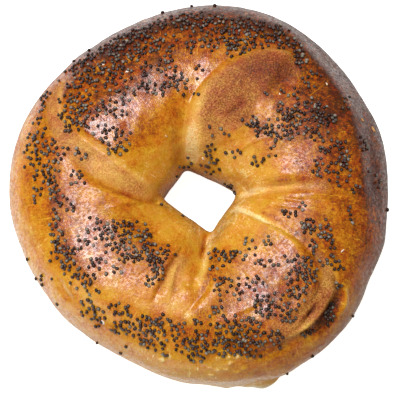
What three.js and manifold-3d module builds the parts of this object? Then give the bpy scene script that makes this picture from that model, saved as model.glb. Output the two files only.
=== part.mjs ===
// A hand-rolled bagel: one ring of baked dough with a tight slanted hole, folds that run
// out from the hole, and poppy seeds baked onto its crown. Millimetres, +Z up.
import * as THREE from "three";
import { mergeVertices } from "three/addons/utils/BufferGeometryUtils.js";
import Module from "manifold-3d";

// ---- Driving dimensions of the ring, in millimetres ----
const MEAN_OUTER_RADIUS = 51.8;
const HEIGHT = 34.8;
const WAIST_HEIGHT = 16.5; // where the ring is widest and the hole tightest
const FOOT_SINK = 1.2; // how far the rounded base is cut off by the flat foot
const CROWN_POWER = 2.15; // section above the waist: 2 is a plain ellipse
const BASE_POWER = 2.5; // section below the waist

// The hole's four sides and its blunt right corner: the way each faces from the middle, in
// degrees, and how far off it is
const HOLE_SIDES = [[144, 8.9], [65, 6.8], [325, 7.65], [234, 6.3], [4, 9.8]];
const HOLE_SQUARENESS = 12; // higher makes the hole's corners tighter

// Where the ring swells or is pressed in: angle in degrees, tightness, millimetres
const OUTLINE_SWELLS = [
  [73, 6, 4.7], [160, 8, 2.3], [235, 5, -2.8], [308, 10, 1.5], [20, 10, 0.7], [20, 60, 0.5],
  [359, 60, -0.6], [334, 80, -0.9], [245, 80, -0.6], [219, 60, 0.4], [113, 14, 0.5], [130, 200, 0.3],
  [270, 300, -0.4], [295, 300, 0.7], [182, 60, 0.35], [105, 30, 0.35],
];
// Where the crown stands higher or lower than the rest
const CROWN_SWELLS = [
  [133, 6, 0.8], [70, 14, 0.5], [24, 14, 0.3], [350, 40, -0.7], [298, 9, 0.3],
];
// Where the top of the crown lies further out than the middle of the section, or further in
const CROWN_LEANS = [
  [216, 7, 4.2], [130, 8, -2.8], [184, 16, -3.2], [275, 8, 2.0], [350, 8, -1.2], [310, 10, 1.5],
  [92, 14, -1.0],
];
// Where the outer side above the waist is flatter, as a loss of crown power
const SIDE_FLATS = [[18, 5, 0.15]];
// A stretch of the base that was pressed square against the tray
const SKIRT = { angle: 276, tightness: 38, extraPower: 5 };
// The ragged lip that was pressed out at the foot, and how high it reaches
const FOOT_LIPS = [
  [288, 1000, 1.6], [291, 300, 2.6], [295, 160, 3.1], [284, 1500, 1.2], [278, 3000, 0.5], [262, 900, 0.4],
  [255, 900, 0.3],
];
const FOOT_LIP_TOP = 7;

// Relief on the crown fades out between these heights above the waist
const RELIEF_FADE_FROM = 1;
const RELIEF_FADE_TO = 9;

// ---- Folds, as curves in plan from the hole's centre ----
// A valley sinks along its curve and a ridge stands up. A lap is dough that lies over its
// neighbour: it stands up on one side of its curve, within reach of it, and ends in a crease
// of depth dip. Side 1 is the left of the way the curve runs and -1 the right.
// fadeIn and fadeOut are the shares of the length over which a fold starts and ends.
const FOLDS = [
  // west: the upper lobe laps down into a deep crease
  { form: "valley", height: 1.6, width: 1.8, fadeIn: 0, fadeOut: 0.6,
    path: [[-9.5, -1.8], [-13, -2], [-17.7, -1.4], [-22, 0], [-26, 1.6], [-29, 3.2], [-31.5, 5.8], [-35, 9],
      [-39, 12]] },
  { form: "valley", height: 1.1, width: 3.2, fadeIn: 0.2, fadeOut: 0.3,
    path: [[-12, -0.6], [-18.6, 1.4], [-24, 4], [-29.6, 7.4], [-34.4, 11.6], [-38.4, 17], [-40.5, 24]] },
  { form: "lap", height: 0.5, width: 1.3, reach: 10, dip: 0.3, side: -1, fadeIn: 0.3, fadeOut: 0.25,
    path: [[-12, 0.3], [-18.5, 3.8], [-26.5, 9.8], [-32, 14], [-37.6, 18], [-39.3, 24], [-37, 31.5]] },
  // north: the tongue of dough laps over the upper lobe
  { form: "valley", height: 1.8, width: 2.8, fadeIn: 0, fadeOut: 0.8,
    path: [[-3.5, 7.6], [-4.8, 11.3], [-5.2, 16], [-4.8, 20], [-2.5, 26], [3, 32]] },
  { form: "lap", height: 1.9, width: 3.2, reach: 8, dip: 0.5, side: -1, fadeIn: 0.35, fadeOut: 0.3,
    path: [[-3.6, 8.6], [-4.4, 11.6], [-4.4, 16], [-3.9, 20], [-2, 25.4], [1.6, 29.8], [5, 33.4]] },
  { form: "ridge", height: 0.6, width: 6, fadeIn: 0.35, fadeOut: 0.3, path: [[5, 11], [10, 31]] },
  { form: "lap", height: 1.0, width: 2.6, reach: 9, dip: 0.2, side: -1, fadeIn: 0.25, fadeOut: 0.3,
    path: [[-0.5, 27.6], [4.2, 32.6], [10.5, 36.7], [17, 38.8], [24, 38.4], [27, 35]] },
  { form: "valley", height: 0.4, width: 2.0, fadeIn: 0.2, fadeOut: 0.6,
    path: [[27.6, 34], [24, 30.4], [21, 28.6], [17.5, 25]] },
  // right: the crown ends in a shoulder above a flatter side
  { form: "ridge", height: 0.6, width: 2.6, fadeIn: 0.2, fadeOut: 0.3,
    path: [[14, 48.5], [22.5, 45.7], [29.9, 36.6], [36.3, 28], [39.9, 20], [41.9, 8.5], [42.4, -6.3],
      [44.8, -13.8]] },
  { form: "valley", height: 0.6, width: 2.8, fadeIn: 0.2, fadeOut: 0.3,
    path: [[15, 53], [27, 48], [34.5, 39.6], [41, 30.6], [45, 21.5], [47.2, 9], [47.6, -6.3], [49, -15]] },
  // east: a stretched band of dough lies in the crease under the right lobe
  { form: "valley", height: 2.2, width: 2.6, fadeIn: 0, fadeOut: 0.7,
    path: [[9, 1.7], [13.7, 0], [20, -0.2], [28, -0.2], [36, -0.6]] },
  { form: "lap", height: 1.1, width: 2.0, reach: 4, dip: 0.5, side: 1, fadeIn: 0, fadeOut: 0.4,
    path: [[9.5, 1.2], [11.8, 0], [13.7, -0.2], [16.8, 0.5], [22.3, 0.5], [26.7, 0.7], [32, 1.2]] },
  { form: "ridge", height: 0.5, width: 1.2, fadeIn: 0.15, fadeOut: 0.3,
    path: [[13.7, -1.2], [16.8, -1], [20.2, -1.2], [24.1, -1.8], [27.5, -2.1], [31.5, -2], [36, -2]] },
  // south-east: the last lobe laps over its neighbour, and its lip curls round the outside
  { form: "lap", height: 1.2, width: 1.4, reach: 9, dip: 0.5, side: -1, fadeIn: 0.05, fadeOut: 0.2,
    path: [[8.4, -4.2], [14.8, -8.1], [22.6, -12.7], [26.5, -15.8], [29.6, -19.3], [33.3, -22.9],
      [35.8, -25.7], [35, -28.7], [32.3, -33.5], [28.3, -37.8], [22.7, -40.7], [15.4, -43.8], [11, -45.6]] },
  { form: "ridge", height: 0.5, width: 0.8, fadeIn: 0.15, fadeOut: 0.3,
    path: [[34.7, -26.4], [34.1, -28.6], [31.3, -33.4], [27.2, -37.2], [20.8, -40.4], [15, -42.8]] },
  { form: "valley", height: 0.5, width: 1.6, fadeIn: 0.2, fadeOut: 0.3,
    path: [[31.6, -22.6], [32.8, -26.4], [31.8, -29.8], [28, -34.2], [22.4, -38.6]] },
  { form: "valley", height: 1.7, width: 1.5, fadeIn: 0.25, fadeOut: 0.4,
    path: [[37.2, -26.4], [36.5, -29.4], [34.9, -32.6], [32.6, -35.8], [29.5, -38.8], [25.6, -41.2]] },
  // south: the crease and the pleats that fan out from it
  { form: "valley", height: 2.3, width: 3.0, fadeIn: 0, fadeOut: 0.6,
    path: [[1.9, -8.6], [0.7, -12.5], [-0.4, -17.4], [-1.6, -24], [-3.2, -31]] },
  { form: "lap", height: 0.8, width: 1.0, reach: 4, dip: 0.7, side: -1, fadeIn: 0.25, fadeOut: 0.35,
    path: [[-4.2, -15], [-6.5, -18.5], [-8.6, -22.6], [-11.3, -28], [-13.4, -32]] },
  { form: "lap", height: 0.8, width: 1.4, reach: 5, dip: 0.5, side: 1, fadeIn: 0.3, fadeOut: 0.35,
    path: [[2.4, -22], [2.2, -25.6], [1, -28.7], [-2.2, -32.3], [-5.4, -36]] },
];

// ---- Poppy seeds ----
const SEED_LENGTH = 1.3;
const SEED_WIDTH = 1.1;
const SEED_THICKNESS = 1.0;
const SEED_SIDES = 6;
const SEED_LIFT = 0.2; // of the seed's middle above the crust
const SEED_SPACING = 1.5; // least distance between seeds' middles
const RANDOM_SEED = 20240;

// Drifts of seed: from, to, half width of the drift, how many seeds it holds
const DRIFTS = [
  [[-40, 30], [-22, 42], 3.5, 14], [[-26, 42], [-6, 50], 3.5, 16], [[-6, 49], [18, 49], 3.5, 16],
  [[-36, 24], [-24, 34], 4, 12], [[-24, 36], [-8, 39], 3.5, 9], [[6, 43], [27, 40], 2.5, 7],
  [[-20, 27], [0, 32], 3, 7], [[-31, 12], [-21, 13], 2.5, 5], [[-45, 22], [-47, 2], 2.5, 9],
  [[-42, 8], [-41, -16], 3.5, 11], [[-39, -20], [-30, -28], 2.5, 8], [[-31, -11], [-17, -13], 3.5, 11],
  [[-17, -14], [-11, -20], 2, 6], [[-30, -30], [-12, -38], 3, 11], [[-10, -40], [16, -41], 3.5, 16],
  [[4, -15], [10, -16], 1.8, 4], [[8, -25], [18, -27], 3.5, 7], [[20, -16], [30, -21], 2.5, 6],
  [[29, -5], [36, -14], 3, 6], [[14, 18], [24, 16], 2.5, 6], [[24, 22], [34, 18], 3.5, 8],
  [[34, 12], [40, 3], 3, 6], [[2, 12], [4, 14], 3, 2],
];

// ---- Mesh fineness ----
const SECTION_STEPS = 34;
const RING_STEPS = 82;
const CROWN_SHARE = 0.7; // of the section's steps that lie above the waist
const CURVE_STEPS = 24;
const TURN_HALVINGS = 16; // when looking for the place on the crown over a plan point

const radians = THREE.MathUtils.degToRad;
const smoothstep = THREE.MathUtils.smoothstep;

// A smooth hump round the ring, 1 at its angle
const hump = (angle, centre, tightness) =>
  Math.exp(tightness * (Math.cos(angle - radians(centre)) - 1));

const sumOfHumps = (angle, swells) =>
  swells.reduce((sum, [centre, tightness, amount]) => sum + amount * hump(angle, centre, tightness), 0);

// Plan radius of the hole, which has four uneven sides, tight corners and a blunt one
function holeRadius(angle) {
  const facing = HOLE_SIDES.map(([way, off]) => Math.max(Math.cos(angle - radians(way)) / off, 0));
  const total = facing.reduce((sum, part) => sum + part ** HOLE_SQUARENESS, 0);
  return total ** (-1 / HOLE_SQUARENESS);
}

const outerRadius = (angle) => MEAN_OUTER_RADIUS + sumOfHumps(angle, OUTLINE_SWELLS);

// Each fold's curve is walked once into short straight steps
const foldLines = FOLDS.map((fold) => {
  const curve = new THREE.SplineCurve(fold.path.map(([x, y]) => new THREE.Vector2(x, y)));
  return curve.getPoints(CURVE_STEPS);
});

// The nearest place on a line: signed distance, positive on the left, and the share run so far
function nearestOn(line, x, y) {
  let best = { distance: Infinity, side: 1, share: 0 };
  for (let i = 0; i < line.length - 1; i += 1) {
    const [a, b] = [line[i], line[i + 1]];
    const [dx, dy] = [b.x - a.x, b.y - a.y];
    const along = THREE.MathUtils.clamp(((x - a.x) * dx + (y - a.y) * dy) / (dx * dx + dy * dy), 0, 1);
    const distance = Math.hypot(x - a.x - along * dx, y - a.y - along * dy);
    if (distance < best.distance) {
      const side = Math.sign(dx * (y - a.y) - dy * (x - a.x)) || 1;
      best = { distance, side, share: (i + along) / (line.length - 1) };
    }
  }
  return best;
}

const fadeAt = (share, length) => (length > 0 ? smoothstep(share, 0, length) : 1);

// A lap's height at a distance, over the upper dough or beside it
function lapHeight(fold, distance, over) {
  if (!over) return -fold.dip * Math.exp(-distance / fold.width);
  const lip = Math.exp((-2 * distance) / fold.width);
  return fold.height * (1 - lip) * Math.exp(-((distance / fold.reach) ** 2)) - fold.dip * lip;
}

// How far one fold moves the crust out along its normal
function foldHeight(fold, line, x, y) {
  const { distance, side, share } = nearestOn(line, x, y);
  const strength = fadeAt(share, fold.fadeIn) * fadeAt(1 - share, fold.fadeOut);
  if (fold.form === "lap") return strength * lapHeight(fold, distance, side * fold.side > 0);
  const sign = fold.form === "ridge" ? 1 : -1;
  return sign * strength * fold.height * Math.exp(-((distance / fold.width) ** 2));
}

const relief = (x, y) =>
  FOLDS.reduce((sum, fold, i) => sum + foldHeight(fold, foldLines[i], x, y), 0);

// The smooth ring's plan radius, height and outward normal: angle round the ring, and turn
// round its section from the outer waist over the crown
function smoothSection(angle, turn) {
  const middle = (outerRadius(angle) + holeRadius(angle)) / 2;
  const half = (outerRadius(angle) - holeRadius(angle)) / 2;
  const [c, s] = [Math.cos(turn), Math.sin(turn)];
  const above = s >= 0;
  const flat = c > 0 ? sumOfHumps(angle, SIDE_FLATS) : 0;
  const skirt = c > 0 ? SKIRT.extraPower * hump(angle, SKIRT.angle, SKIRT.tightness) : 0;
  const power = above ? CROWN_POWER - flat : BASE_POWER + skirt;
  const rise = above ? HEIGHT - WAIST_HEIGHT + sumOfHumps(angle, CROWN_SWELLS) : WAIST_HEIGHT + FOOT_SINK;
  const across = Math.sign(c) * Math.abs(c) ** (2 / power);
  const up = Math.sign(s) * Math.abs(s) ** (2 / power);
  const lean = sumOfHumps(angle, CROWN_LEANS) * Math.max(up, 0) ** 2;
  const normal = new THREE.Vector2(
    Math.sign(across) * Math.abs(across) ** (power - 1) / half,
    Math.sign(up) * Math.abs(up) ** (power - 1) / rise,
  ).normalize();
  return { radius: middle + half * across + lean, height: WAIST_HEIGHT + rise * up, normal };
}

// A point of the crust, with an extra lift along the normal
function crustPoint(angle, turn, lift = 0) {
  const { radius, height, normal } = smoothSection(angle, turn);
  const fade = smoothstep(height - WAIST_HEIGHT, RELIEF_FADE_FROM, RELIEF_FADE_TO);
  const folded = fade > 0 ? fade * relief(radius * Math.cos(angle), radius * Math.sin(angle)) : 0;
  const out = lift + folded;
  const lip = normal.x > 0 ? sumOfHumps(angle, FOOT_LIPS) * (1 - smoothstep(height, 0, FOOT_LIP_TOP)) : 0;
  const reach = radius + out * normal.x + lip;
  return new THREE.Vector3(
    reach * Math.cos(angle),
    reach * Math.sin(angle),
    Math.max(0, height + out * normal.y),
  );
}

// The section's steps lie closer together over the crown than under the base
function sectionTurn(share) {
  if (share <= CROWN_SHARE) return Math.PI * (share / CROWN_SHARE);
  return Math.PI * (1 + (share - CROWN_SHARE) / (1 - CROWN_SHARE));
}

// A plain torus, with each vertex moved to its place on the crust
function crustGeometry() {
  const geometry = new THREE.TorusGeometry(MEAN_OUTER_RADIUS / 2, HEIGHT / 2, SECTION_STEPS, RING_STEPS);
  const { position, uv } = geometry.attributes;
  for (let i = 0; i < position.count; i += 1) {
    const angle = 2 * Math.PI * (uv.getX(i) % 1);
    const point = crustPoint(angle, sectionTurn(uv.getY(i) % 1));
    position.setXYZ(i, point.x, point.y, point.z);
  }
  return geometry;
}

// Repeatable random numbers from 0 to 1
function randomDraw(seed) {
  let state = seed;
  return () => {
    state = (state + 0x6d2b79f5) | 0;
    let mixed = Math.imul(state ^ (state >>> 15), 1 | state);
    mixed = (mixed + Math.imul(mixed ^ (mixed >>> 7), 61 | mixed)) ^ mixed;
    return ((mixed ^ (mixed >>> 14)) >>> 0) / 2 ** 32;
  };
}

// The turn round the section at which the crown lies over a plan point, found by halving
function crownTurn(x, y) {
  const angle = Math.atan2(y, x);
  let [low, high] = [0, Math.PI];
  for (let i = 0; i < TURN_HALVINGS; i += 1) {
    const turn = (low + high) / 2;
    if (smoothSection(angle, turn).radius > Math.hypot(x, y)) low = turn;
    else high = turn;
  }
  return (low + high) / 2;
}

// One seed: a squashed six-sided bead, lying flat on the crust
function seedGeometry(x, y, spin) {
  const angle = Math.atan2(y, x);
  const turn = crownTurn(x, y);
  const place = crustPoint(angle, turn, SEED_LIFT);
  const normal = crustPoint(angle, turn, SEED_LIFT + 1).sub(place).normalize();
  const toNormal = new THREE.Quaternion().setFromUnitVectors(new THREE.Vector3(0, 0, 1), normal);
  const spun = new THREE.Quaternion().setFromAxisAngle(new THREE.Vector3(0, 0, 1), spin);
  const size = new THREE.Vector3(SEED_LENGTH / 2, SEED_WIDTH / 2, SEED_THICKNESS / 2);
  const matrix = new THREE.Matrix4().compose(place, toNormal.multiply(spun), size);
  return new THREE.SphereGeometry(1, SEED_SIDES, 2).rotateX(Math.PI / 2).applyMatrix4(matrix);
}

// Seeds lie at random within their drift, but no two on the same spot
function sprinkledSeeds() {
  const draw = randomDraw(RANDOM_SEED);
  const spots = [];
  for (const [from, to, halfWidth, count] of DRIFTS) {
    const length = Math.hypot(to[0] - from[0], to[1] - from[1]);
    const [ux, uy] = [(to[0] - from[0]) / length, (to[1] - from[1]) / length];
    for (let placed = 0, tries = 0; placed < count && tries < 40 * count; tries += 1) {
      const along = length * draw();
      const aside = halfWidth * (draw() + draw() - 1) * 1.2;
      const [x, y] = [from[0] + ux * along - uy * aside, from[1] + uy * along + ux * aside];
      if (spots.every((spot) => Math.hypot(spot.x - x, spot.y - y) >= SEED_SPACING)) {
        spots.push({ x, y });
        placed += 1;
      }
    }
  }
  return spots.map(({ x, y }) => seedGeometry(x, y, Math.PI * draw()));
}

// ---- Fusing the seeds to the crust ----
const wasm = await Module();
wasm.setup();

function toSolid(geometry) {
  const bare = geometry.clone();
  bare.deleteAttribute("normal");
  bare.deleteAttribute("uv");
  const merged = mergeVertices(bare);
  return new wasm.Manifold(new wasm.Mesh({
    numProp: 3,
    vertProperties: new Float32Array(merged.attributes.position.array),
    triVerts: new Uint32Array(merged.index.array),
  }));
}

function toGeometry(solid) {
  const mesh = solid.getMesh();
  const geometry = new THREE.BufferGeometry();
  geometry.setAttribute("position", new THREE.BufferAttribute(new Float32Array(mesh.vertProperties), 3));
  geometry.setIndex(new THREE.BufferAttribute(new Uint32Array(mesh.triVerts), 1));
  return geometry;
}

// The largest body is kept: a loose scrap or a sealed bubble between seeds is dropped
function fuse(solids) {
  const bodies = wasm.Manifold.union(solids).decompose();
  return bodies.reduce((largest, body) => (body.volume() > largest.volume() ? body : largest));
}

const crust = crustGeometry();
crust.computeBoundingBox();
const middle = crust.boundingBox.getCenter(new THREE.Vector3());
const fused = fuse([crust, ...sprinkledSeeds()].map(toSolid));
const bagelGeometry = toGeometry(fused).translate(-middle.x, -middle.y, 0);
bagelGeometry.computeVertexNormals();

const bagel = new THREE.Mesh(
  bagelGeometry,
  new THREE.MeshStandardMaterial({ color: 0xc87a28, roughness: 0.4, metalness: 0 }),
);
bagel.name = "bagel";

const group = new THREE.Group();
group.add(bagel);

export default group;
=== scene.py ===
"""A hand-rolled poppy seed bagel: its baked crust, the seeds on it and a few pale grains.

Laid out as an add-on. Each piece has its own operator, and the sidebar panel lists them.
Lengths in the tables are millimetres in plan from the middle of the hole, with +Z up.
"""
import math

import bpy
import numpy as np
from mathutils import Matrix, Quaternion, Vector
from mathutils.bvhtree import BVHTree


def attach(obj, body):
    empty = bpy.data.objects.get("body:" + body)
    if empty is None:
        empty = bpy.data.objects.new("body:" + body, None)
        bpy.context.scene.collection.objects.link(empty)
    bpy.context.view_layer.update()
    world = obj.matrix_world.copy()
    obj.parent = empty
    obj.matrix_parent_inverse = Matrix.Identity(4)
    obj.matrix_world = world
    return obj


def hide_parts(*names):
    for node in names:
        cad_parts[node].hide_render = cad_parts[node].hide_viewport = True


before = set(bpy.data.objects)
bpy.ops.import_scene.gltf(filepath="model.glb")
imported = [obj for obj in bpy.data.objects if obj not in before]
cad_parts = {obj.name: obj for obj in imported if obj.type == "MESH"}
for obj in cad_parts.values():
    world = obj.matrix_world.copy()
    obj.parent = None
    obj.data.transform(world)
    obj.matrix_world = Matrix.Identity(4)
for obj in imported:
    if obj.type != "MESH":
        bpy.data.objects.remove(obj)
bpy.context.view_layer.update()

bl_info = {
    "name": "Poppy Seed Bagel",
    "version": (1, 0, 0),
    "blender": (4, 5, 0),
    "location": "View3D > Sidebar > Bagel",
    "description": "Models a hand-rolled poppy seed bagel round its packed solid",
    "category": "Object",
}

MM = 0.001
NODE = "bagel"
BODY = "root"

# ---------------------------------------------------------------- the smooth ring

# Where the outline swells or is pressed in: angle in degrees, tightness, millimetres. A hump of
# tightness 1 reaches half way round the ring, and one of 1000 a few degrees.
OUTLINE_SWELLS = (
    (73, 6, 4.7), (160, 8, 2.3), (235, 5, -2.8), (308, 10, 1.5), (20, 10, 0.7), (20, 60, 0.5),
    (359, 60, -0.6), (334, 80, -0.9), (245, 80, -0.6), (219, 60, 0.4), (113, 14, 0.5),
    (130, 200, 0.3), (270, 300, -0.4), (295, 300, 0.7), (182, 60, 0.35), (105, 30, 0.35),
)
# Where the crown stands higher or lower than the rest
CROWN_SWELLS = ((133, 6, 0.8), (70, 14, 0.5), (24, 14, 0.3), (350, 40, -0.7), (298, 9, 0.3))
# Where the top of the crown lies further out than the middle of the section, or further in
CROWN_LEANS = (
    (216, 7, 4.2), (130, 8, -2.8), (184, 16, -3.2), (275, 8, 2.0), (350, 8, -1.2), (310, 10, 1.5),
    (92, 14, -1.0),
)
# Where the side above the waist is flatter than elsewhere
SIDE_FLATS = ((18, 5, 0.15),)
# A stretch of the base that was pressed square against the tray
SKIRT_ANGLE = 276
SKIRT_TIGHTNESS = 38
SKIRT_EXTRA_POWER = 5
CROWN_POWER = 2.15
BASE_POWER = 2.5
# The hole's four sides and its blunt right corner: which way each faces from the middle, in
# degrees, and how far off it is
HOLE_SIDES = ((144, 8.9), (65, 6.8), (325, 7.65), (234, 6.3), (4, 9.8))
HOLE_SQUARENESS = 12
# Folds start low on the crown and are full at these heights above the waist
FOLD_FADE = (1, 9)

# ---------------------------------------------------------------- folds of the crown

CURVE_STEPS = 20
FAR = 2.5               # folds and strokes end at this many times their width or reach


class Fold:
    """One fold along a curve in plan.

    A valley sinks along its curve and a ridge stands up. A crease is a sharp valley. A lap is
    dough that lies over its neighbour: it stands up on one side of the curve, within reach of
    it, rounds over and ends in a crease of depth dip. Side 1 is the left of the way the curve
    runs and -1 the right. fades are the shares of the length over which the fold starts and ends.
    """

    def __init__(self, form, height, width, fades, path, side=1, reach=9, dip=0.4):
        self.form = form
        self.height = height
        self.width = width
        self.fades = fades
        self.line = walk(path)
        self.side = side
        self.reach = reach
        self.dip = dip

    def lift(self, x, y):
        """How far this fold moves the crust out at plan points."""
        far = FAR * (self.reach if self.form == "lap" else self.width)
        near, distance, side, share = nearest_on(self.line, x, y, far)
        if self.form == "lap":
            height = self.lap(distance, side * self.side > 0)
        elif self.form == "crease":
            height = -self.height * np.exp(-2 * distance / self.width)
        else:
            sign = 1 if self.form == "ridge" else -1
            height = sign * self.height * np.exp(-((distance / self.width) ** 2))
        result = np.zeros_like(x)
        result[near] = height * fade(share, self.fades)
        return result

    def lap(self, distance, over):
        """Height of a lap at a distance, over the upper dough or beside it."""
        lip = np.exp(-2 * distance / self.width)
        top = self.height * (1 - lip) * np.exp(-((distance / self.reach) ** 2))
        return np.where(over, top - self.dip * lip, -self.dip * np.exp(-distance / self.width))


def walk(path):
    """Points along a smooth curve through the path's own points, one row each."""
    given = np.array(path, float)
    if len(given) == 2:
        return given
    padded = np.vstack([given[:1], given, given[-1:]])
    points = []
    for position in np.linspace(0, len(given) - 1, CURVE_STEPS + 1):
        index = min(int(position), len(given) - 2)
        t = position - index
        a, b, c, d = padded[index:index + 4]
        bend = 2 * a - 5 * b + 4 * c - d
        twist = 3 * b - a - 3 * c + d
        points.append(0.5 * (2 * b + (c - a) * t + bend * t ** 2 + twist * t ** 3))
    return np.array(points)


def nearest_on(line, x, y, far):
    """The nearest place on a line for the points not further than far from its box.

    Returns which points those are, their distance, the side they lie on (1 left, -1 right) and
    the share of the line run so far.
    """
    low, high = line.min(0) - far, line.max(0) + far
    near = (x > low[0]) & (x < high[0]) & (y > low[1]) & (y < high[1])
    px, py = x[near], y[near]
    distance = np.full(px.shape, np.inf)
    side = np.ones(px.shape)
    share = np.zeros(px.shape)
    for i, (a, b) in enumerate(zip(line[:-1], line[1:])):
        dx, dy = b - a
        along = np.clip(((px - a[0]) * dx + (py - a[1]) * dy) / (dx * dx + dy * dy), 0, 1)
        here = np.hypot(px - a[0] - along * dx, py - a[1] - along * dy)
        closer = here < distance
        distance = np.where(closer, here, distance)
        turn = np.sign(dx * (py - a[1]) - dy * (px - a[0]))
        side = np.where(closer, np.where(turn == 0, 1, turn), side)
        share = np.where(closer, (i + along) / (len(line) - 1), share)
    return near, distance, side, share


def smoothstep(value, low, high):
    """0 below low, 1 above high and a smooth ramp between."""
    t = np.clip((value - low) / (high - low), 0, 1)
    return t * t * (3 - 2 * t)


def fade(share, fades):
    """1 along a curve, and a ramp down to 0 at the ends that fade."""
    start, end = fades
    result = np.ones_like(share)
    if start:
        result = result * smoothstep(share, 0, start)
    if end:
        result = result * smoothstep(1 - share, 0, end)
    return result


def hump(angle, centre, tightness):
    """A smooth hump round the ring, 1 at its angle."""
    return np.exp(tightness * (np.cos(angle - math.radians(centre)) - 1))


def sum_of_humps(angle, swells):
    """Humps round the ring added up, from (angle in degrees, tightness, amount) rows."""
    return sum(amount * hump(angle, centre, tightness) for centre, tightness, amount in swells)


# Paths that folds, browning and bare dough share
TONGUE_SEAM = ((6, 19), (9, 21), (12.5, 23.4))
OUTER_CREASE = ((-38, -24), (-36.4, -27.6), (-34, -30.6))
EAST_BAND = ((9.5, 0), (13.7, 0.1), (21.5, 0.1), (29.9, 0.2), (36, -1.4))
LIP_BAND = (
    (30, -17), (33.4, -23.4), (31.8, -28.6), (28.4, -32.6), (23.6, -37.2), (17, -41.4),
)

# The folds that show from a step away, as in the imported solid
MAIN_FOLDS = (
    # west: the upper lobe laps down into a deep crease
    Fold("valley", 1.6, 1.8, (0, 0.6), ((-9.5, -1.8), (-13, -2), (-17.7, -1.4), (-22, 0),
         (-26, 1.6), (-29, 3.2), (-31.5, 5.8), (-35, 9), (-39, 12))),
    Fold("valley", 1.1, 3.2, (0.2, 0.3), ((-12, -0.6), (-18.6, 1.4), (-24, 4), (-29.6, 7.4),
         (-34.4, 11.6), (-38.4, 17), (-40.5, 24))),
    Fold("lap", 0.5, 1.3, (0.3, 0.25), ((-12, 0.3), (-18.5, 3.8), (-26.5, 9.8), (-32, 14),
         (-37.6, 18), (-39.3, 24), (-37, 31.5)), side=-1, reach=10, dip=0.3),
    # north: the tongue of dough laps over the upper lobe
    Fold("valley", 1.8, 2.8, (0, 0.8), ((-3.5, 7.6), (-4.8, 11.3), (-5.2, 16), (-4.8, 20),
         (-2.5, 26), (3, 32))),
    Fold("lap", 1.9, 3.2, (0.35, 0.3), ((-3.6, 8.6), (-4.4, 11.6), (-4.4, 16), (-3.9, 20),
         (-2, 25.4), (1.6, 29.8), (5, 33.4)), side=-1, reach=8, dip=0.5),
    Fold("ridge", 0.6, 6, (0.35, 0.3), ((5, 11), (10, 31))),
    Fold("lap", 1.0, 2.6, (0.25, 0.3), ((-0.5, 27.6), (4.2, 32.6), (10.5, 36.7), (17, 38.8),
         (24, 38.4), (27, 35)), side=-1, reach=9, dip=0.2),
    Fold("valley", 0.4, 2.0, (0.2, 0.6), ((27.6, 34), (24, 30.4), (21, 28.6), (17.5, 25))),
    # right: the crown ends in a shoulder above a flatter side
    Fold("ridge", 0.6, 2.6, (0.2, 0.3), ((14, 48.5), (22.5, 45.7), (29.9, 36.6), (36.3, 28),
         (39.9, 20), (41.9, 8.5), (42.4, -6.3), (44.8, -13.8))),
    Fold("valley", 0.6, 2.8, (0.2, 0.3), ((15, 53), (27, 48), (34.5, 39.6), (41, 30.6), (45, 21.5),
         (47.2, 9), (47.6, -6.3), (49, -15))),
    # east: a stretched band of dough lies in the crease under the right lobe
    Fold("valley", 2.2, 2.6, (0, 0.7), ((9, 1.7), (13.7, 0), (20, -0.2), (28, -0.2), (36, -0.6))),
    Fold("lap", 1.1, 2.0, (0, 0.4), ((9.5, 1.2), (11.8, 0), (13.7, -0.2), (16.8, 0.5), (22.3, 0.5),
         (26.7, 0.7), (32, 1.2)), reach=4, dip=0.5),
    Fold("ridge", 0.5, 1.2, (0.15, 0.3), ((13.7, -1.2), (16.8, -1), (20.2, -1.2), (24.1, -1.8),
         (27.5, -2.1), (31.5, -2), (36, -2))),
    # south-east: the last lobe laps over its neighbour, and its lip curls round the outside
    Fold("lap", 1.2, 1.4, (0.05, 0.2), ((8.4, -4.2), (14.8, -8.1), (22.6, -12.7), (26.5, -15.8),
         (29.6, -19.3), (33.3, -22.9), (35.8, -25.7), (35, -28.7), (32.3, -33.5), (28.3, -37.8),
         (22.7, -40.7), (15.4, -43.8), (11, -45.6)), side=-1, reach=9, dip=0.5),
    Fold("ridge", 0.5, 0.8, (0.15, 0.3), ((34.7, -26.4), (34.1, -28.6), (31.3, -33.4),
         (27.2, -37.2), (20.8, -40.4), (15, -42.8))),
    Fold("valley", 0.5, 1.6, (0.2, 0.3), ((31.6, -22.6), (32.8, -26.4), (31.8, -29.8), (28, -34.2),
         (22.4, -38.6))),
    Fold("valley", 1.7, 1.5, (0.25, 0.4), ((37.2, -26.4), (36.5, -29.4), (34.9, -32.6),
         (32.6, -35.8), (29.5, -38.8), (25.6, -41.2))),
    # south: the crease and the pleats that fan out from it
    Fold("valley", 2.3, 3.0, (0, 0.6), ((1.9, -8.6), (0.7, -12.5), (-0.4, -17.4), (-1.6, -24),
         (-3.2, -31))),
    Fold("lap", 0.8, 1.0, (0.25, 0.35), ((-4.2, -15), (-6.5, -18.5), (-8.6, -22.6), (-11.3, -28),
         (-13.4, -32)), side=-1, reach=4, dip=0.7),
    Fold("lap", 0.8, 1.4, (0.3, 0.35), ((2.4, -22), (2.2, -25.6), (1, -28.7), (-2.2, -32.3),
         (-5.4, -36)), reach=5, dip=0.5),
)

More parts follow.
